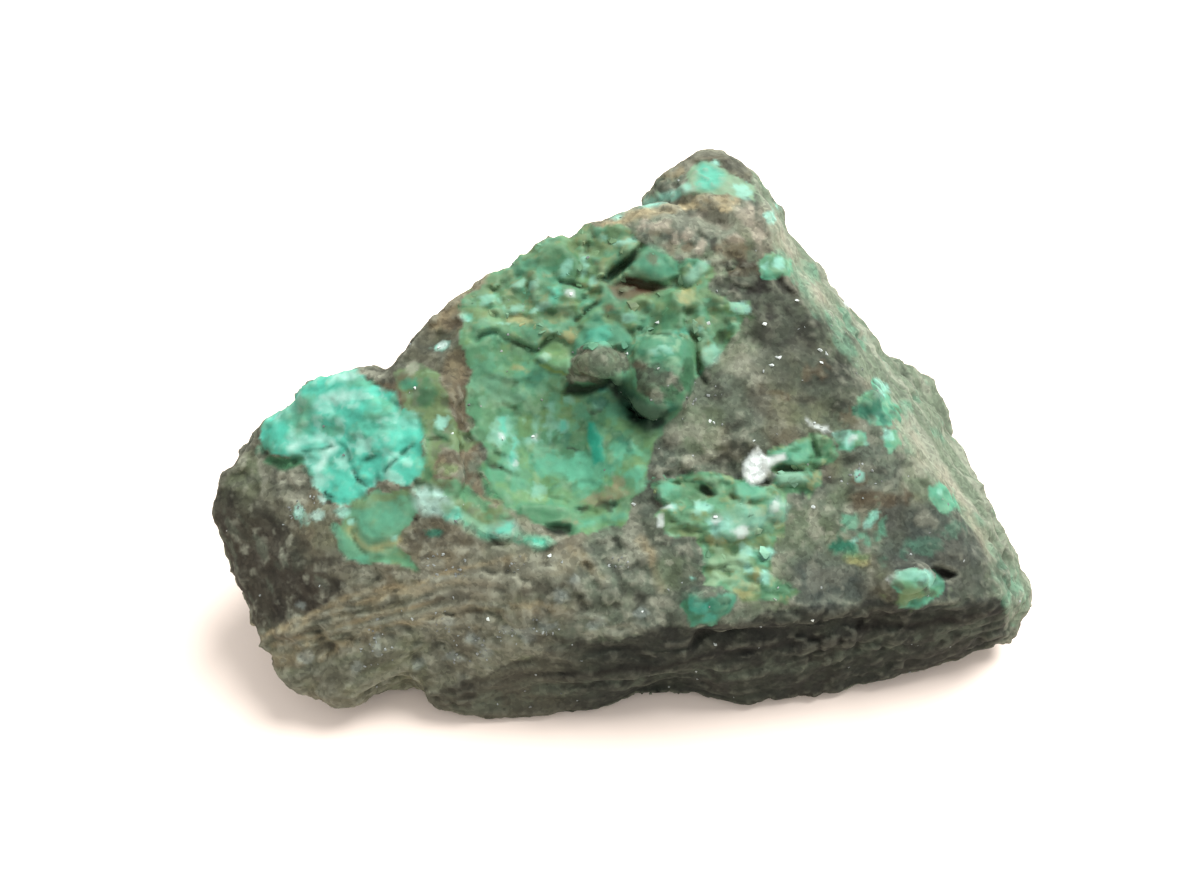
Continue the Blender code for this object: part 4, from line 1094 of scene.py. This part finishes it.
def socket_map(nodes, links, source, low, high):
    """A value from 0 to 1 turned into one from low to high."""
    node = nodes.new("ShaderNodeMapRange")
    node.inputs["To Min"].default_value = low
    node.inputs["To Max"].default_value = high
    links.new(source, node.inputs["Value"])
    return node


def rock_finish():
    """The painted skin with grains in colour, roughness and bump."""
    material = bpy.data.materials.new("mineral rock")
    material.use_nodes = True
    nodes, links = material.node_tree.nodes, material.node_tree.links
    surface = nodes["Principled BSDF"]
    surface.inputs["Specular IOR Level"].default_value = 0.16
    place = nodes.new("ShaderNodeTexCoord").outputs["Object"]
    paint_node = nodes.new("ShaderNodeVertexColor")
    paint_node.layer_name = "paint"
    wax_node = nodes.new("ShaderNodeAttribute")
    wax_node.attribute_name = "wax"

    sand = nodes.new("ShaderNodeTexVoronoi")
    sand.inputs["Scale"].default_value = 3600
    links.new(place, sand.inputs["Vector"])
    tones = nodes.new("ShaderNodeSeparateColor")
    links.new(sand.outputs["Color"], tones.inputs["Color"])
    grain = nodes.new("ShaderNodeTexNoise")
    grain.inputs["Scale"].default_value = 2400
    grain.inputs["Detail"].default_value = 5
    links.new(place, grain.inputs["Vector"])

    rock_shade = socket_map(nodes, links, tones.outputs["Red"], 0.76, 1.22)
    wax_shade = socket_map(nodes, links, grain.outputs["Fac"], 0.82, 1.18)
    shade = nodes.new("ShaderNodeMix")
    links.new(wax_node.outputs["Fac"], shade.inputs["Factor"])
    links.new(rock_shade.outputs["Result"], shade.inputs["A"])
    links.new(wax_shade.outputs["Result"], shade.inputs["B"])
    tint = nodes.new("ShaderNodeMix")
    tint.data_type = 'RGBA'
    tint.blend_type = 'MULTIPLY'
    tint.inputs["Factor"].default_value = 1.0
    links.new(paint_node.outputs["Color"], tint.inputs["A"])
    links.new(shade.outputs["Result"], tint.inputs["B"])
    links.new(tint.outputs["Result"], surface.inputs["Base Color"])

    rough = socket_map(nodes, links, wax_node.outputs["Fac"], 0.85, 0.65)
    uneven = nodes.new("ShaderNodeMath")
    uneven.operation = 'MULTIPLY_ADD'
    uneven.inputs[1].default_value = 0.3
    links.new(grain.outputs["Fac"], uneven.inputs[0])
    links.new(rough.outputs["Result"], uneven.inputs[2])
    trim = nodes.new("ShaderNodeMath")
    trim.operation = 'SUBTRACT'
    trim.inputs[1].default_value = 0.15
    links.new(uneven.outputs["Value"], trim.inputs[0])
    links.new(trim.outputs["Value"], surface.inputs["Roughness"])

    bump = nodes.new("ShaderNodeBump")
    strength = socket_map(nodes, links, wax_node.outputs["Fac"], 0.75, 0.25)
    links.new(strength.outputs["Result"], bump.inputs["Strength"])
    bump.inputs["Distance"].default_value = 0.07 * MM
    links.new(grain.outputs["Fac"], bump.inputs["Height"])
    links.new(bump.outputs["Normal"], surface.inputs["Normal"])
    return material


stone.data.materials.clear()
stone.data.materials.append(rock_finish())
stone.data.shade_smooth()
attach(stone, "root")
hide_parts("stone")

# %% [markdown]
# Small loose-looking bits can't come from a skin that is pushed up and down: crumbs that overlap, and quartz grains.
# The grains at the glints are painted bright white, a painted highlight, and the rest are dim dust. Each bit is the
# hull of a few random points, flattened and sunk into the skin, so that it is a closed little stone. A crumb takes
# its colour from the paint where it lies, so it always belongs to its place.

# %% Crumbs and quartz grains
rng = np.random.default_rng(11)
to_see = np.flatnonzero(seen > 0.5)


def bits(name, places, lengths, flatness, colours, sink):
    """A piece made of small hulls on the skin: at skin points, with a length in mm and a colour each."""
    bm = bmesh.new()
    tint = bm.verts.layers.float_color.new("paint")
    for index, length, colour in zip(places, lengths, colours):
        out = Vector(normals[index])
        turn = out.to_track_quat('Z', 'Y') @ Quaternion((0, 0, 1), rng.uniform(0, 6.28))
        turn = turn @ Quaternion((1, 0, 0), rng.normal(0, 0.25))
        shape = unit(rng.normal(size=(11, 3))) * (0.5, rng.uniform(0.3, 0.5), 0.5 * flatness) * length
        middle = Vector(points[index] / MM) - out * sink * length
        corners = [middle + turn @ Vector(corner) for corner in shape]
        hull = [bm.verts.new(corner) for corner in np.clip(corners, box_low / MM, box_high / MM)]
        made = bmesh.ops.convex_hull(bm, input=hull)
        bmesh.ops.delete(bm, geom=made["geom_interior"], context='VERTS')
        for vert in hull:
            if vert.is_valid:
                vert[tint] = (*(colour * rng.uniform(0.75, 1.2)), 1.0)
    mesh = bpy.data.meshes.new(name)
    bm.to_mesh(mesh)
    bm.free()
    mesh.transform(Matrix.Scale(MM, 4))
    thing = bpy.data.objects.new(name, mesh)
    bpy.context.scene.collection.objects.link(thing)
    return thing


def skin_points_at(places):
    """The skin points that show nearest to places in the picture."""
    spots = []
    for place_u, place_v in places:
        spots.append(to_see[np.argmin(np.hypot(picture_u[to_see] - place_u, picture_v[to_see] - place_v))])
    return np.array(spots)


crumbly = (seen > 0.9) * np.clip(flaky + 0.8 * zones["right green"] + 0.2 * zones["valley"], 0, 1)
crumbly *= (1 - zones["left lump"]) * (1 - zones["right lump"])
crumb_places = rng.choice(len(points), 90, replace=False, p=crumbly / crumbly.sum())
crumb_tones = rng.uniform(0.85, 1.2, (len(crumb_places), 1))
crumb_sizes = rng.uniform(0.6, 1.35, len(crumb_places))
crumb_piece = bits("mineral_crumbs", crumb_places, crumb_sizes, 0.3, paint[crumb_places] * crumb_tones, 0.12)

GLINTS = [
    (571, 295), (440, 347), (628, 354), (660, 368), (656, 322), (708, 323), (765, 325), (776, 358), (770, 366),
    (820, 350), (828, 353), (822, 361), (710, 421), (691, 455), (755, 440), (715, 518), (549, 556), (634, 504),
    (533, 436), (414, 387), (411, 619), (796, 300), (813, 508), (776, 600), (814, 424), (822, 428), (845, 303),
    (716, 645), (813, 620), (780, 357), (712, 424), (502, 438), (451, 433), (640, 612), (488, 620),
]
DUSTY = [
    (377, 654), (380, 640), (471, 640), (505, 632), (486, 650), (456, 655), (440, 625), (434, 562), (298, 513),
    (460, 575), (517, 563), (546, 628), (620, 560), (310, 505), (700, 395), (860, 470),
]
dusted = [middle + rng.normal(0, (9, 6), (9, 2)) for middle in np.array(DUSTY, float)]
dust_places = np.concatenate([skin_points_at(np.concatenate(dusted)), rng.choice(to_see, 110, replace=False)])
grain_places = np.concatenate([skin_points_at(GLINTS), dust_places])
grain_sizes = np.concatenate([rng.uniform(0.32, 0.46, len(GLINTS)), rng.uniform(0.16, 0.32, len(dust_places))])
quartz_and_glint_tones = np.tile(WHITE / EXPOSURE, (len(grain_places), 1)) * rng.uniform(0.13, 0.3, (len(grain_places), 1))
# The grains at the glints are painted 2.6 times brighter: painted highlights.
quartz_and_glint_tones[:len(GLINTS)] *= 2.6
grain_piece = bits("quartz_grains_and_glints", grain_places, grain_sizes, 0.7, quartz_and_glint_tones, 0.08)
print("crumbs:", len(crumb_places), "grains:", len(grain_places), "faces:", len(crumb_piece.data.polygons), len(grain_piece.data.polygons))


def bit_finish(name, low_rough, high_rough, specular):
    """A painted mineral with grain in its tone, its roughness and its bump."""
    material = bpy.data.materials.new(name)
    material.use_nodes = True
    nodes, links = material.node_tree.nodes, material.node_tree.links
    surface = nodes["Principled BSDF"]
    surface.inputs["Specular IOR Level"].default_value = specular
    grain = nodes.new("ShaderNodeTexNoise")
    grain.inputs["Scale"].default_value = 3000
    links.new(nodes.new("ShaderNodeTexCoord").outputs["Object"], grain.inputs["Vector"])
    paint_node = nodes.new("ShaderNodeVertexColor")
    paint_node.layer_name = "paint"
    shade = socket_map(nodes, links, grain.outputs["Fac"], 0.8, 1.2)
    tint = nodes.new("ShaderNodeMix")
    tint.data_type = 'RGBA'
    tint.blend_type = 'MULTIPLY'
    tint.inputs["Factor"].default_value = 1.0
    links.new(paint_node.outputs["Color"], tint.inputs["A"])
    links.new(shade.outputs["Result"], tint.inputs["B"])
    links.new(tint.outputs["Result"], surface.inputs["Base Color"])
    links.new(socket_map(nodes, links, grain.outputs["Fac"], low_rough, high_rough).outputs["Result"], surface.inputs["Roughness"])
    bump = nodes.new("ShaderNodeBump")
    bump.inputs["Strength"].default_value = 0.3
    bump.inputs["Distance"].default_value = 0.05 * MM
    links.new(grain.outputs["Fac"], bump.inputs["Height"])
    links.new(bump.outputs["Normal"], surface.inputs["Normal"])
    return material


for piece, finish in ((crumb_piece, bit_finish("mineral crumb", 0.5, 0.75, 0.2)), (grain_piece, bit_finish("quartz", 0.3, 0.55, 0.4))):
    piece.data.materials.append(finish)
    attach(piece, "root")

# %% [markdown]
# The floor is plain and pale, as bright as the cloth in a well lit picture, so that only the contact shadow shows. It
# ends where the lamp's light does, and the bright room takes over, so that no horizon shows in any view.
# The light is soft: a bright room all around, and one large lamp overhead, a little behind and to the right, which
# lights the flank and the tops and leaves the front band and the cave dark.

# %% Floor and light
FLOOR_RADIUS = 0.32
LAMP_PLACE = (0.20, 0.16, 0.42)
LAMP_SIZE = 0.34
LAMP_POWER = 5.0
ROOM_LIGHT = 1.05


def pale_floor():
    """A round plain table top at zero height."""
    bm = bmesh.new()
    bmesh.ops.create_circle(bm, cap_ends=True, segments=96, radius=FLOOR_RADIUS)
    mesh = bpy.data.meshes.new("floor")
    bm.to_mesh(mesh)
    bm.free()
    thing = bpy.data.objects.new("floor", mesh)
    bpy.context.scene.collection.objects.link(thing)
    material = bpy.data.materials.new("pale floor")
    material.use_nodes = True
    surface = material.node_tree.nodes["Principled BSDF"]
    surface.inputs["Base Color"].default_value = (0.80, 0.69, 0.61, 1)
    surface.inputs["Roughness"].default_value = 0.9
    mesh.materials.append(material)
    return thing


def soft_lamp():
    """A round area lamp that looks at the stone."""
    data = bpy.data.lights.new("lamp", 'AREA')
    data.shape = 'DISK'
    data.size = LAMP_SIZE
    data.energy = LAMP_POWER
    lamp = bpy.data.objects.new("lamp", data)
    lamp.location = LAMP_PLACE
    lamp.rotation_euler = lamp.location.to_track_quat('Z', 'Y').to_euler()
    bpy.context.scene.collection.objects.link(lamp)


pale_floor()
soft_lamp()
world = bpy.data.worlds.new("bright room")
world.use_nodes = True
world.node_tree.nodes["Background"].inputs["Strength"].default_value = ROOM_LIGHT
world.node_tree.nodes["Background"].inputs["Color"].default_value = (1.0, 1.0, 1.0, 1)
bpy.context.scene.world = world
bpy.context.scene.view_settings.view_transform = 'Standard'
